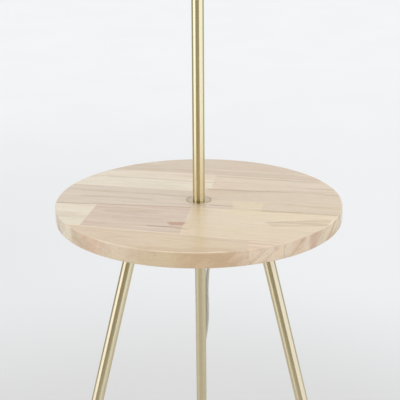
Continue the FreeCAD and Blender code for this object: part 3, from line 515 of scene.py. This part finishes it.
def wood(name, coat):
    """Pale glued boards under clear lacquer. Each board has its own tone, marks and grain, and round
    the rim the grain runs up aslant. The tones are those seen under the lacquer's pale shine, which
    comes off them on the top. The rim keeps that shine as painted sheen, and is painted lighter
    except at its right end."""
    f = Finish(name)
    here = f.place(turn=-BOARDS_AROUND)
    right = f.node("SeparateXYZ", {0: here}).outputs["X"]
    flat = scaled(f, here, (1.0, 1.0, 0.0))
    radius = f.node("VectorMath", {0: flat}, operation="LENGTH").outputs["Value"]
    rim = f.span(radius, TABLE_RADIUS - 1.2 * MM, TABLE_RADIUS - 0.4 * MM)

    boards = srgb(*BOARDS[0][1])
    for _, tone, corners in BOARDS[1:]:
        boards = f.mix(inside(f, here, corners, JOINT_SOFTNESS), boards, srgb(*tone))

    drift = f.node("TexNoise", {"Vector": f.place((18, 40, 18)), "Scale": 1.0, "Detail": 2.0})
    bend = scaled(f, drift.outputs["Color"], (0.0, 0.010, 0.0), (0.0, -0.005, 0.0))
    bent = f.node("VectorMath", {0: here, 1: bend}, operation="ADD").outputs[0]
    colour = marked(f, boards, MARKS, lambda soft: here if soft < LEAST_BENT else bent)
    colour = marked(f, colour, RIM_MARKS, lambda soft: here, rim)
    colour = streaked_rim(f, colour, boards, rim, right)
    colour, fibres, pores = veined(f, colour, boards)
    # Painted highlight along the upper arris
    colour = painted_arris_highlight(f, colour, radius, right)

    gain, veil = 1 / (1 - LACQUER_VEIL), LACQUER_VEIL / (1 - LACQUER_VEIL)
    bare = scaled(f, colour, (gain,) * 3, (-veil,) * 3)
    # Painted light on the rim: it keeps the lacquer's shine and is brightened by a gain that falls
    # towards its right end
    inputs = {0: colour, "Scale": f.span(right, 20 * MM, 80 * MM, 1.11, 0.99)}
    side = f.node("VectorMath", inputs, operation="SCALE").outputs[0]
    f.set(base_color=f.mix(rim, bare, side))
    f.set(coat_weight=coat, coat_roughness=0.24, specular_ior_level=0.3)
    f.set(roughness=f.span(fibres, 0.3, 0.7, 0.48, 0.60))
    f.bump(f.sum("SUBTRACT", fibres, f.span(pores, 0.66, 0.74)), 0.01 * MM)
    return f.material


def sheath(name, colour):
    """Smoky clear cord covering: the cores show through as soft grey streaks, drawn out upwards."""
    f = Finish(name)
    streaks = f.noise(f.place((900, 900, 170)), detail=1)
    cloud = f.noise(f.place((40, 40, 40)), detail=2)
    base = f.mix(f.span(streaks, 0.42, 0.58), tinted(colour, 0.86), colour)
    base = f.mix(f.span(cloud, 0.3, 0.7, 0, 0.25), base, srgb(212, 208, 190))
    f.set(base_color=base, roughness=0.28, transmission_weight=0.15, coat_weight=0.4)
    f.bump(cloud, 0.05 * MM)
    return f.material


# ---------------------------------------------------------------- what a user would change
class LampSizes(bpy.types.PropertyGroup):
    """Sizes of the visible detail."""

    edge_round: bpy.props.FloatProperty(
        name="Table edge rounding",
        description="How far the table's edges are rounded",
        default=1.6 * MM,
        min=0.2 * MM,
        max=6 * MM,
        unit="LENGTH",
        precision=4,
    )
    tube_lip: bpy.props.FloatProperty(
        name="Tube lip",
        description="How far the ends of the tubes are softened",
        default=0.5 * MM,
        min=0.1 * MM,
        max=1 * MM,
        unit="LENGTH",
        precision=4,
    )
    hem: bpy.props.FloatProperty(
        name="Shade hem",
        description="Height of the folded hems at the shade's edges",
        default=9 * MM,
        min=4 * MM,
        max=25 * MM,
        unit="LENGTH",
        precision=4,
    )
    seam: bpy.props.FloatProperty(
        name="Shade seam",
        description="Width of the lapped seam up the shade's back",
        default=12 * MM,
        min=4 * MM,
        max=30 * MM,
        unit="LENGTH",
        precision=4,
    )
    weave: bpy.props.FloatProperty(
        name="Weave",
        description="Distance from one thread of the shade's cloth to the next",
        default=0.8 * MM,
        min=0.3 * MM,
        max=3 * MM,
        unit="LENGTH",
        precision=5,
    )


class LampColours(bpy.types.PropertyGroup):
    """Colours and gloss of the finishes."""

    brass: bpy.props.FloatVectorProperty(
        name="Brass",
        description="Colour of the tubes and the disc",
        default=(0.80, 0.705, 0.42),
        subtype="COLOR",
        min=0,
        max=1,
    )
    lacquer: bpy.props.FloatProperty(
        name="Lacquer",
        description="How strongly the lacquer on the wood shines",
        default=1.0,
        min=0,
        max=1,
        subtype="FACTOR",
    )
    linen: bpy.props.FloatVectorProperty(
        name="Linen",
        description="Colour of the shade's cloth",
        default=srgb(238, 233, 223)[:3],
        subtype="COLOR",
        min=0,
        max=1,
    )
    plastic: bpy.props.FloatVectorProperty(
        name="Plastic",
        description="Colour of the lampholder and the knob",
        default=srgb(236, 235, 230)[:3],
        subtype="COLOR",
        min=0,
        max=1,
    )
    cord: bpy.props.FloatVectorProperty(
        name="Cord",
        description="Colour of the cord's covering",
        default=srgb(226, 226, 224)[:3],
        subtype="COLOR",
        min=0,
        max=1,
    )


class LampStage(bpy.types.PropertyGroup):
    """Strength of the studio's light."""

    ambient: bpy.props.FloatProperty(
        name="Light all round",
        description="How much light comes from every side",
        default=0.37,
        min=0,
        max=2,
    )
    lamps: bpy.props.FloatProperty(
        name="Lamps",
        description="Strength of the three lamps together",
        default=0.8,
        min=0,
        max=4,
    )
    softbox: bpy.props.FloatProperty(
        name="Softboxes",
        description="Brightness of the panels that polished metal reflects",
        default=1.25,
        min=0,
        max=4,
    )


def rgba(colour, tone=(1.0, 1.0, 1.0)):
    """A colour property with its alpha, each of its channels times the tone's."""
    return (*(c * t for c, t in zip(colour, tone)), 1.0)


# ---------------------------------------------------------------- operators
class LAMP_OT_tabletop(bpy.types.Operator):
    """The round wooden top and the brass disc let into it"""

    bl_idname = "lamp.tabletop"
    bl_label = "Tabletop"

    def execute(self, context):
        sizes, colours = context.scene.lamp_sizes, context.scene.lamp_colours
        seat, bore = DISC_RADIUS + SEAT_GAP, STUD_RADIUS + SEAT_GAP
        outline = rounded(
            [
                (bore, TABLE_LOW, SEAT_LIP),
                (TABLE_RADIUS, TABLE_LOW, sizes.edge_round),
                (TABLE_RADIUS, TABLE_HIGH, sizes.edge_round),
                (seat, TABLE_HIGH, SEAT_LIP),
                (seat, DISC_BOTTOM, 0),
                (bore, DISC_BOTTOM, 0),
            ]
        )
        mesh = turned("wooden_top", outline, 256)
        piece("wooden_top", mesh, wood("pale_boards", colours.lacquer), "pale_wood", "tabletop")
        disc = rounded(
            [
                (STUD_RADIUS + CLEARANCE, DISC_BOTTOM, 0),
                (DISC_RADIUS, DISC_BOTTOM, 0),
                (DISC_RADIUS, TABLE_HIGH, DISC_LIP),
                (STUD_RADIUS + CLEARANCE, TABLE_HIGH, 0),
            ]
        )
        # The disc's brass is darkened: painted shade
        colour = rgba(colours.brass, DISC_SHADE_TONE)
        finish = brass("turned_brass", colour, (700, 700, 700), False)
        piece("brass_disc", turned("brass_disc", disc, 128), finish, "brushed_brass", "table_flange")
        return {"FINISHED"}


class LAMP_OT_tubes(bpy.types.Operator):
    """The pole's two tubes and the three legs"""

    bl_idname = "lamp.tubes"
    bl_label = "Brass tubes"

    def execute(self, context):
        lip = context.scene.lamp_sizes.tube_lip
        colour = context.scene.lamp_colours.brass
        finish = brass("brushed_brass_pole", rgba(colour), (4200, 26, 1), True)
        for part, low, high in POLE_PARTS:
            mesh = turned("pole_tube_" + part, tube_outline(low, high, lip))
            piece("pole_tube_" + part, mesh, finish, "brushed_brass", "pole_" + part)
        # The legs' brass is darkened: painted shade
        finish = brass("brushed_brass_legs", rgba(colour, LEG_SHADE_TONE), (4200, 26, 1), True)
        for side, azimuth in LEG_AZIMUTHS.items():
            outline = tube_outline(LEG_START, LEG_END, lip)
            mesh = turned("leg_tube_" + side, outline, place=leg_place(azimuth))
            piece("leg_tube_" + side, mesh, finish, "brushed_brass", "leg_" + side)
        return {"FINISHED"}


def bulb_outline():
    """The bulb's outline: its foot, then the curve (1-t)^3 A + 3t(1-t)^2 B + 3t^2(1-t) C + t^3 D, which
    leaves the neck at A upright and meets the ball's circle at D, and that circle up to its top."""
    low, high = (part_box("bulb_glass")[k].z for k in (0, 1))
    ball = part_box("bulb_glass")[1].y
    way = np.array([math.cos(BULB_MEETING), math.sin(BULB_MEETING)])
    centre, start = np.array([0, high - ball]), np.array([BULB_NECK, low])
    end = centre + ball * way
    reach = np.linalg.norm(end - start) / 2.5
    pull = [start + [0, reach], end + reach * np.array([way[1], -way[0]])]
    t = np.linspace(0, 1, 16)[:, None]
    side = (1 - t) ** 3 * start + 3 * t * (1 - t) ** 2 * pull[0]
    side = side + 3 * t**2 * (1 - t) * pull[1] + t**3 * end
    a = np.linspace(BULB_MEETING, math.pi / 2, 40)[1:]
    crown = centre + ball * np.stack([np.cos(a), np.sin(a)], -1)
    crown[-1, 0] = 0
    return np.vstack([[[0, low]], side, crown])


class LAMP_OT_bulb(bpy.types.Operator):
    """The opal bulb: a neck that widens into a ball"""

    bl_idname = "lamp.bulb"
    bl_label = "Bulb"

    def execute(self, context):
        glass = {"coat_weight": 0.5, "subsurface_weight": 0.15}
        colour = srgb(244, 243, 238)
        finish = grained("opal_glass_finish", colour, 0.0, 0.22, 9 * MM, 0.01 * MM, 0.015, **glass)
        mesh = turned("opal_bulb", bulb_outline(), closed=False)
        piece("opal_bulb", mesh, finish, "opal_glass", "bulb_glass")
        return {"FINISHED"}


def shade_radius(z):
    """The radius of the drum's hems on their outer side: it falls evenly from the lower edge up."""
    return SHADE_RADIUS_LOW - (z - SHADE_LOW) * SHADE_SLOPE


def hem_roll(z):
    """A hem's inner side, rolled round the wire ring at the height z: the angle a from 90 to 270
    degrees is at the ring's radius + R cos a and the height z + R sin a."""
    middle = shade_radius(z) - CLOTH - WIRE_RADIUS
    a = np.radians(np.linspace(90, 270, 12))
    return list(zip(middle + WIRE_ROLL * np.cos(a), z + WIRE_ROLL * np.sin(a)))


def shade_outline(hem):
    """The drum's closed outline: up the outer side, over the upper ring, down the inner side and under
    the lower ring. The hems lie a fold outside the cloth between them, on both sides."""
    low, high = SHADE_LOW + hem, SHADE_HIGH - hem
    heights = np.linspace(low + HEM_STEP, high - HEM_STEP, 24)
    rows = [(shade_radius(SHADE_LOW), SHADE_LOW + EDGE_DROP), (shade_radius(low), low)]
    rows += [(shade_radius(z) - OUTER_FOLD, z) for z in heights]
    rows += [(shade_radius(high), high), (shade_radius(SHADE_HIGH), SHADE_HIGH - EDGE_DROP)]
    rows += [(shade_radius(SHADE_HIGH) - EDGE_IN, SHADE_HIGH)]
    rows += hem_roll(SHADE_HIGH - WIRE_ROLL)
    rows += [(shade_radius(z) - CLOTH - INNER_FOLD, z) for z in (high + HEM_TUCK, high)]
    rows += [(shade_radius(z) - CLOTH, z) for z in heights[::-1]]
    rows += [(shade_radius(z) - CLOTH - INNER_FOLD, z) for z in (low, low - HEM_TUCK)]
    rows += hem_roll(SHADE_LOW + WIRE_ROLL)
    rows += [(shade_radius(SHADE_LOW) - EDGE_IN, SHADE_LOW)]
    return np.array(rows)


def seam_lap(outline, width):
    """The seam's thickness, rows x segments: it lies on the drum's outer side between the hems, half the
    width to each side of its azimuth, and falls off over a short slope."""
    t = np.linspace(0, 2 * np.pi, SHADE_SEGMENTS, endpoint=False)
    arc = np.abs(np.angle(np.exp(1j * (t - SEAM_AZIMUTH)))) * SHADE_RADIUS_LOW
    share = np.clip((width / 2 - arc) / SEAM_SLOPE + 0.5, 0, 1)
    r, cone = outline[:, 0], shade_radius(outline[:, 1])
    between = (r > cone - CLOTH / 2) & (r < cone - OUTER_FOLD / 2)
    return between[:, None] * share * SEAM_LAP


class LAMP_OT_shade(bpy.types.Operator):
    """The tapered drum of linen, its hems folded over the wire rings, with a lapped seam at the back"""

    bl_idname = "lamp.shade"
    bl_label = "Shade"

    def execute(self, context):
        sizes, colours = context.scene.lamp_sizes, context.scene.lamp_colours
        outline = shade_outline(sizes.hem)
        lap = seam_lap(outline, sizes.seam)
        mesh = turned("linen_drum", outline, SHADE_SEGMENTS, swell=lap)
        finish = woven("linen_cloth", rgba(colours.linen), sizes.weave, 0.12 * MM, 0.07, True)
        replaced = ("shade_fabric", "shade_bottom_ring", "shade_top_ring")
        piece("linen_drum", mesh, finish, "linen", *replaced)
        return {"FINISHED"}


# The cord's way, in millimetres: out of the relief and back under the table, then beside the rear leg
# as (height, distance to the right, distance behind the leg's axis), and at last to the plug
UNDER_TABLE = ((0, 0, 503), (0, 0, 489.6), (0.4, 6.5, 476.4), (1.6, 20, 465.6), (4.2, 45, 457))
UNDER_TABLE += ((9.5, 77, 447), (14, 103, 434))
BESIDE_LEG = ((416, 14.6, 2.0), (392, 11.4, 6.4), (360, 9.4, 8.4), (322, 10.6, 7.0), (284, 9.8, 8.2))
BESIDE_LEG += ((246, 4.6, 11.4), (208, -2.6, 12.6), (168, -4.6, 11.6), (128, -1.8, 12.6))
BESIDE_LEG += ((90, 2.6, 11.8), (58, 2.2, 13.4), (33, 5.2, 17.0))
TO_PLUG = ((95, 185.38, 9.15), (86, 185.38, 9.15), (76, 184.38, 8.35), (65, 183.38, 6.85))
TO_PLUG += ((56, 183.38, 6.85),)


def cord_route():
    """The cord's control points, in metres: out of the relief, back beside the rear leg and down behind
    it, along the floor, round the coil and out to the plug. After n of the coil's N turns the radius is
    the least one + the pitch x |n - N/2|, and between 3 and 3.5 turns the cord climbs one layer."""
    slant, feet, start_y = math.tan(LEG_SPLAY), FOOT_CIRCLE / MM, 258.58
    drop = list(UNDER_TABLE)
    for z, sideways, off in BESIDE_LEG:
        axis = LEG_TOP_CIRCLE / MM + (TABLE_LOW / MM - z) * slant
        drop.append((sideways, axis + off / math.cos(LEG_SPLAY), z))
    drop += [(16, feet + 18.5, 14.5), (34, feet + 22, 6.0), (55, start_y + 1.4, 3.2)]
    drop += [(76, start_y, 3.55), (95, start_y, 3.55)]
    turns = np.linspace(0, COIL_TURNS, int(16 * COIL_TURNS) + 1)
    radius = COIL_LEAST_RADIUS + COIL_PITCH * np.abs(turns - COIL_TURNS / 2)
    climb = np.clip(2 * (turns - COIL_CLIMB_FROM), 0, 1)
    angle = np.pi / 2 - 2 * np.pi * turns
    x, y = COIL_CENTRE.x + radius * np.cos(angle), COIL_CENTRE.y + radius * np.sin(angle)
    coil = np.stack([x, y, COIL_FLOOR + COIL_PITCH * climb**2 * (3 - 2 * climb)], -1)
    return np.vstack([np.array(drop) * MM, coil, np.array(TO_PLUG) * MM])


def cord_curve(route):
    """The cord: a curve of the second degree over the route's points, with a round section."""
    curve = bpy.data.curves.new("mains_cord", "CURVE")
    curve.dimensions = "3D"
    spline = curve.splines.new("NURBS")
    spline.points.add(len(route) - 1)
    spline.points.foreach_set("co", np.hstack([route, np.ones((len(route), 1))]).ravel())
    spline.order_u = 3
    spline.use_endpoint_u = True
    spline.resolution_u = 6
    curve.bevel_depth = CORD_RADIUS
    curve.bevel_resolution = 5
    curve.use_fill_caps = True
    return curve


def ribbed(low, high, start, end, ribs):
    """The outline of a tapered relief: its radius goes evenly from one end's to the other's, less the
    depth of the grooves between its ribs, which follow a sine and leave both ends plain."""
    h = np.linspace(0, 1, 16 * ribs)
    groove = GROOVE * np.clip(3 * np.sin(2 * np.pi * ribs * h) - 1, 0, 1) * (h > 0.12) * (h < 0.9)
    return np.stack([start + (end - start) * h - groove, low + (high - low) * h], -1)


def hub_relief_mesh():
    """The relief that the cord leaves the table by: ribbed, with a head and a socket, turned about Z."""
    outline = ribbed(CORD_EXIT, CORD_EXIT + RELIEF_TAPER, RELIEF_TIP, RELIEF_ROOT, 4)
    bore, socket = CORD_RADIUS + CLEARANCE, RELIEF_TOP - RELIEF_DEPTH
    head = [(RELIEF_HEAD, CORD_EXIT + RELIEF_STEP), (RELIEF_HEAD, RELIEF_TOP)]
    head += [(RELIEF_SOCKET, RELIEF_TOP), (RELIEF_SOCKET, socket), (bore, socket), (bore, CORD_EXIT)]
    return turned("hub_relief", np.vstack([outline, head]), 64)


def plug_neck_mesh(tip):
    """The plug's relief: ribbed and turned about X, from the cord's end at tip to the plug's back."""
    place = Matrix.Translation(Vector(tip)) @ Matrix.Rotation(-math.pi / 2, 4, "Y")
    low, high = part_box("plug_relief")
    back = high.x - low.x
    outline = np.vstack([[[0, 0]], ribbed(0, back, NECK_TIP, NECK_ROOT, 5), [[0, back]]])
    return turned("plug_neck", outline, 64, place, closed=False)


def plug_mesh():
    """The plug's body: sections |y/w|^3 + |z/h|^3 = 1 along X, whose half width and half height
    swell from the neck to the face, and fall to nothing at both ends along a quarter circle."""
    low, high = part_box("plug_body")
    length = high.x - low.x
    quarter = PLUG_ROUND * (1 - np.cos(np.linspace(0, np.pi / 2, 8)))
    plain = np.linspace(PLUG_ROUND, length - PLUG_ROUND, 30)[1:-1]
    run_in = np.concatenate([quarter, plain, length - quarter[::-1]])
    edge = np.minimum(np.minimum(run_in, length - run_in) / PLUG_ROUND, 1)
    shrink = PLUG_ROUND * (1 - np.sqrt(1 - (1 - edge) ** 2))
    s = np.clip(run_in / (PLUG_SWELL * length), 0, 1)
    swell = s * s * (3 - 2 * s)
    widest, tallest = (high.y - low.y) / 2, (high.z - low.z) / 2
    wide = PLUG_WIDE + ((1 - PLUG_TAPER) * widest - PLUG_WIDE) * swell
    wide = np.minimum(wide + PLUG_TAPER * widest * (run_in / length), widest)
    tall = PLUG_TALL + (tallest - PLUG_TALL) * swell
    t = np.linspace(0, 2 * np.pi, 72, endpoint=False)
    cy = np.sign(np.cos(t)) * np.abs(np.cos(t)) ** (2 / 3)
    cz = np.sign(np.sin(t)) * np.abs(np.sin(t)) ** (2 / 3)
    x = np.concatenate([[high.x], high.x - run_in, [low.x]])
    w = np.concatenate([[0], wide - shrink, [0]])
    h = np.concatenate([[0], tall - shrink, [0]])
    y = (low.y + high.y) / 2 + w[:, None] * cy
    z = (low.z + high.z) / 2 + h[:, None] * cz
    points = np.stack([x[:, None] + 0 * t, y, z], -1)
    along, across = np.linspace(0, length, len(x) + 1), np.linspace(0, PLUG_GIRTH, len(t) + 1)
    return surface("moulded_plug", points, along, across)


class LAMP_OT_cord(bpy.types.Operator):
    """The cord with its reliefs, coil and plug"""

    bl_idname = "lamp.cord"
    bl_label = "Cord"

    def execute(self, context):
        finish = sheath("smoky_sheath", rgba(context.scene.lamp_colours.cord))
        moulded = grained("moulded_cord_plastic", srgb(206, 205, 198), 0, 0.42, 0.25 * MM, 0.02 * MM)
        route = cord_route()
        replaced = ("cord_drop", "cord_coil", "cord_tail")
        cord = piece("mains_cord", cord_curve(route), finish, "cord_sheath", *replaced)
        piece("hub_relief", hub_relief_mesh(), moulded, "clear_plastic", "cord_relief")
        neck = plug_neck_mesh(route[-1])
        neck = piece("plug_neck", neck, moulded, "plug_plastic", "plug_relief")
        plug = piece("moulded_plug", plug_mesh(), moulded, "plug_plastic", "plug_body")
        return {"FINISHED"}


# Finishes of the pieces that keep their own shape: slot, name, colour or None for the user's plastic,
# metallic, roughness, the grain's size and depth in millimetres, and how far its colour varies
FITTINGS = (
    ("zinc_steel", "zinc_plate", (0.60, 0.61, 0.62, 1), 1.0, 0.36, 0.5, 0.01, 0.12),
    ("white_plastic", "holder_plastic", None, 0, 0.38, 0.3, 0.01, 0.02),
    ("ceramic_block", "glazed_porcelain", srgb(232, 229, 220), 0, 0.2, 1, 0.02, 0.03),
    ("bare_brass", "drawn_brass", (0.80, 0.62, 0.32, 1), 1.0, 0.3, 0.2, 0.01, 0.08),
    ("black_plastic", "glide_plastic", srgb(38, 38, 40), 0, 0.55, 0.35, 0.04, 0.15),
    ("nickel_cap", "nickel_plate", (0.72, 0.70, 0.66, 1), 1.0, 0.24, 0.4, 0.01, 0.06),
    ("white_steel", "white_enamel", srgb(238, 238, 234), 0, 0.3, 0.5, 0.02, 0.02),
)

# Slots that wear the finish of a piece made above
SHARED = {
    "cord_sheath": "smoky_sheath",
    "clear_plastic": "moulded_cord_plastic",
    "plug_plastic": "moulded_cord_plastic",
    "brushed_brass": "turned_brass",
    "pale_wood": "pale_boards",
    "opal_glass": "opal_glass_finish",
    "linen": "linen_cloth",
}


class LAMP_OT_hardware(bpy.types.Operator):
    """The finishes of the pieces that keep their own shape: fittings, lampholder, switch and feet"""

    bl_idname = "lamp.hardware"
    bl_label = "Fittings"

    def execute(self, context):
        plastic = rgba(context.scene.lamp_colours.plastic)
        finishes = {slot: bpy.data.materials[name] for slot, name in SHARED.items()}
        for slot, name, colour, metallic, rough, grain, depth, tint in FITTINGS:
            finish = grained(name, colour or plastic, metallic, rough, grain * MM, depth * MM, tint)
            finishes[slot] = finish
        strap = srgb(52, 52, 55)
        finishes["tie_strap"] = woven("strap_cloth", strap, 0.5 * MM, 0.1 * MM, 0.2, False)
        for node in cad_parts.values():
            for slot in node.material_slots:
                slot.material = finishes[slot.material.name.split(".")[0]]
        return {"FINISHED"}


# ---------------------------------------------------------------- studio
CAMERA_DISTANCE = 1.3903
CAMERA_ELEVATION = math.radians(18.916)
CAMERA_AROUND = math.radians(0.7)
CAMERA_YAW = math.radians(0.062)
CAMERA_PITCH = math.radians(-0.010)
CAMERA_ROLL = math.radians(-0.357)
CAMERA_LENS = 93.96

# Reflected panels: from and to azimuth in degrees from the front towards +X, and colour
PANELS = (
    ("softbox_left", -92, -45, (1.28, 1.28, 1.48)),
    ("gap_front", -45, 25, (0.26, 0.255, 0.20)),
    ("softbox_right", 25, 56, (1.05, 1.09, 1.34)),
    ("softbox_far_right", 56, 98, (1.00, 1.04, 1.26)),
    ("flag_left", -148, -92, (0.30, 0.31, 0.32)),
    ("flag_right", 98, 148, (0.40, 0.43, 0.42)),
)
PANEL_RADIUS = 1.25
PANEL_HEIGHT = 2.6

# Lamps: azimuth from the front towards +X, elevation and width of the light in degrees, and share
LAMPS = (
    ("lamp_left", -62, 38, 50, 0.34),
    ("lamp_right", 58, 36, 50, 0.44),
    ("lamp_rear", 175, 58, 60, 0.40),
)
LAMP_DISTANCE = 3

# The floor: half its width, the distances over which its painted shade round the lamp fades to a paler
# tone, and the share of its own tone
FLOOR_REACH = 40.0
FLOOR_NEAR = (0.35, 1.1)
FLOOR_FAR = (0.9, 4.0)
FLOOR_GLOW = 0.78


def staged(name, data):
    """An object that belongs to the studio."""
    obj = bpy.data.objects.new(name, data)
    bpy.context.scene.collection.objects.link(obj)
    return obj


def lit_panel(name, colour, level):
    """A plain lit finish."""
    f = Finish(name)
    f.tree.nodes.remove(f.shader)
    f.show(f.node("Emission", {"Color": colour, "Strength": level}))
    return f.material


def panel(name, start, end, colour, level):
    """An upright panel bent about the lamp: the azimuth a is at (R sin a, -R cos a), seen only in
    reflections."""
    a = np.radians(np.linspace(start, end, 24))
    ring = np.stack([PANEL_RADIUS * np.sin(a), -PANEL_RADIUS * np.cos(a)], -1)
    low = np.hstack([ring, np.zeros((len(a), 1))])
    high = low + [0, 0, PANEL_HEIGHT]
    k = np.arange(len(a) - 1)
    faces = np.stack([k, k + 1, k + 1 + len(a), k + len(a)], -1)
    mesh = bpy.data.meshes.new(name)
    mesh.from_pydata(np.vstack([low, high]).tolist(), [], faces.tolist())
    mesh.materials.append(lit_panel(name, colour, level))
    obj = staged(name, mesh)
    obj.visible_camera = obj.visible_diffuse = obj.visible_shadow = False
    obj.visible_transmission = obj.visible_volume_scatter = False


def seen(tree):
    """1 for rays from the camera, from glossy surfaces and through clear ones, and 0 for others."""
    rays = tree.nodes.new("ShaderNodeLightPath").outputs
    total = rays["Is Camera Ray"]
    for name in ("Is Glossy Ray", "Is Transmission Ray"):
        most = tree.nodes.new("ShaderNodeMath")
        most.operation = "MAXIMUM"
        tree.links.new(total, most.inputs[0])
        tree.links.new(rays[name], most.inputs[1])
        total = most.outputs[0]
    return total


def floor():
    """The pale floor: it takes the light and the lamp's shadow, and has painted shade round the lamp and
    on its left, so that it looks paler far from the lamp.
    """
    mesh = bpy.data.meshes.new("floor")
    signs = ((-1, -1), (1, -1), (1, 1), (-1, 1))
    mesh.from_pydata([(x * FLOOR_REACH, y * FLOOR_REACH, 0) for x, y in signs], [], [(0, 1, 2, 3)])
    f = Finish("pale_floor")
    away = f.node("VectorMath", {0: f.node("TexCoord").outputs["Object"]}, operation="LENGTH")
    # Painted shade round the lamp, fading with distance
    near = f.span(away.outputs["Value"], *FLOOR_NEAR, smooth=True)
    far = f.span(away.outputs["Value"], *FLOOR_FAR, smooth=True)
    shade = f.mix(near, srgb(215, 216, 221), srgb(242, 245, 251))
    shade = f.mix(far, shade, srgb(248, 251, 257))
    # Painted shadow on the left, near the lamp
    across = f.node("SeparateXYZ", {0: f.place()}).outputs["X"]
    left = f.sum("MULTIPLY", f.span(across, -0.9, 0.5, 0.35, 0.0, True), f.span(far, 0.0, 0.6, 1, 0))
    shade = f.mix(left, shade, srgb(214, 214, 220))
    speck = f.noise(f.place((3, 3, 3)), detail=2)
    shade = f.mix(f.span(speck, 0.3, 0.7, 0, 0.12), shade, srgb(232, 232, 234))
    lit = f.node("Emission", {"Color": shade, "Strength": 1.0})
    f.set(base_color=srgb(228, 224, 206), roughness=1.0, specular_ior_level=0.0)
    share = f.sum("MULTIPLY", seen(f.tree), FLOOR_GLOW)
    f.show(f.node("MixShader", {0: share, 1: f.shader.outputs[0], 2: lit.outputs[0]}))
    mesh.materials.append(f.material)
    staged("floor", mesh)


class LAMP_OT_stage(bpy.types.Operator):
    """The floor, the light and the camera"""

    bl_idname = "lamp.stage"
    bl_label = "Stage"

    def execute(self, context):
        scene, levels = context.scene, context.scene.lamp_stage
        scene.view_settings.view_transform = "Standard"
        floor()
        for name, start, end, colour in PANELS:
            panel(name, start, end, (*colour, 1.0), levels.softbox)
        for name, azimuth, elevation, size, share in LAMPS:
            light = bpy.data.lights.new(name, "SUN")
            light.energy = share * levels.lamps * math.pi
            light.angle = math.radians(size)
            obj = staged(name, light)
            a, e = math.radians(azimuth), math.radians(elevation)
            way = Vector((math.sin(a) * math.cos(e), -math.cos(a) * math.cos(e), math.sin(e)))
            turn = way.to_track_quat("Z", "Y").to_matrix().to_4x4()
            obj.matrix_world = Matrix.Translation(way * LAMP_DISTANCE) @ turn
            obj.visible_glossy = False
        self.surroundings(scene, levels.ambient)
        self.camera(scene)
        return {"FINISHED"}

    def surroundings(self, scene, ambient):
        """The world: pale where it is seen, and an even light for everything else."""
        world = scene.world or bpy.data.worlds.new("studio")
        scene.world = world
        world.use_nodes = True
        tree = world.node_tree
        tree.nodes.clear()
        backgrounds = []
        for colour, strength in (((0.97, 0.98, 1.0, 1), ambient), (srgb(243, 244, 244), 1.0)):
            node = tree.nodes.new("ShaderNodeBackground")
            node.inputs["Color"].default_value = colour
            node.inputs["Strength"].default_value = strength
            backgrounds.append(node)
        mixed, out = tree.nodes.new("ShaderNodeMixShader"), tree.nodes.new("ShaderNodeOutputWorld")
        tree.links.new(seen(tree), mixed.inputs[0])
        for k, node in enumerate(backgrounds):
            tree.links.new(node.outputs[0], mixed.inputs[k + 1])
        tree.links.new(mixed.outputs[0], out.inputs[0])

    def camera(self, scene):
        """The camera at the photograph's place: aimed at the table's middle, then turned a little."""
        target = Vector((0, 0, TABLE_HIGH))
        around = Matrix.Rotation(CAMERA_AROUND, 3, "Z")
        back = around @ Vector((0, -math.cos(CAMERA_ELEVATION), math.sin(CAMERA_ELEVATION)))
        ahead, right = -back, around @ Vector((1, 0, 0))
        up = right.cross(ahead)
        level = math.cos(CAMERA_PITCH)
        ahead = (
            ahead * math.cos(CAMERA_YAW) * level
            + right * math.sin(CAMERA_YAW) * level
            + up * math.sin(CAMERA_PITCH)
        )
        right = ahead.cross(Vector((0, 0, 1))).normalized()
        up = right.cross(ahead)
        x_axis = right * math.cos(CAMERA_ROLL) + up * math.sin(CAMERA_ROLL)
        y_axis = up * math.cos(CAMERA_ROLL) - right * math.sin(CAMERA_ROLL)
        turn = Matrix((x_axis, y_axis, -ahead)).transposed().to_4x4()
        data = bpy.data.cameras.new("camera")
        data.sensor_width = 36
        data.lens = CAMERA_LENS
        data.clip_start, data.clip_end = 0.05, 100
        obj = bpy.data.objects.new("camera", data)
        obj.matrix_world = Matrix.Translation(target + back * CAMERA_DISTANCE) @ turn
        scene.collection.objects.link(obj)
        scene.camera = obj


class LAMP_PT_panel(bpy.types.Panel):
    """Sizes, colours and pieces of the lamp"""

    bl_label = "Floor lamp with table"
    bl_idname = "LAMP_PT_panel"
    bl_space_type = "VIEW_3D"
    bl_region_type = "UI"
    bl_category = "Lamp"

    def draw(self, context):
        for group in ("lamp_sizes", "lamp_colours", "lamp_stage"):
            settings = getattr(context.scene, group)
            for name in settings.__annotations__:
                self.layout.prop(settings, name)
        for operator in OPERATORS:
            self.layout.operator(operator.bl_idname)


GROUPS = {"lamp_sizes": LampSizes, "lamp_colours": LampColours, "lamp_stage": LampStage}
OPERATORS = (
    LAMP_OT_tabletop,
    LAMP_OT_tubes,
    LAMP_OT_bulb,
    LAMP_OT_shade,
    LAMP_OT_cord,
    LAMP_OT_hardware,
    LAMP_OT_stage,
)


def register():
    """Registers the settings, the operators and the panel."""
    for name, group in GROUPS.items():
        bpy.utils.register_class(group)
        setattr(bpy.types.Scene, name, bpy.props.PointerProperty(type=group))
    for operator in OPERATORS:
        bpy.utils.register_class(operator)
    bpy.utils.register_class(LAMP_PT_panel)


def unregister():
    """Removes what register added."""
    bpy.utils.unregister_class(LAMP_PT_panel)
    for operator in reversed(OPERATORS):
        bpy.utils.unregister_class(operator)
    for name, group in GROUPS.items():
        delattr(bpy.types.Scene, name)
        bpy.utils.unregister_class(group)


def main():
    """Builds the lamp and its stage."""
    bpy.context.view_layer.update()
    register()
    bpy.ops.lamp.tabletop()
    bpy.ops.lamp.tubes()
    bpy.ops.lamp.bulb()
    bpy.ops.lamp.shade()
    bpy.ops.lamp.cord()
    bpy.ops.lamp.hardware()
    bpy.ops.lamp.stage()


if __name__ == "__main__":
    main()
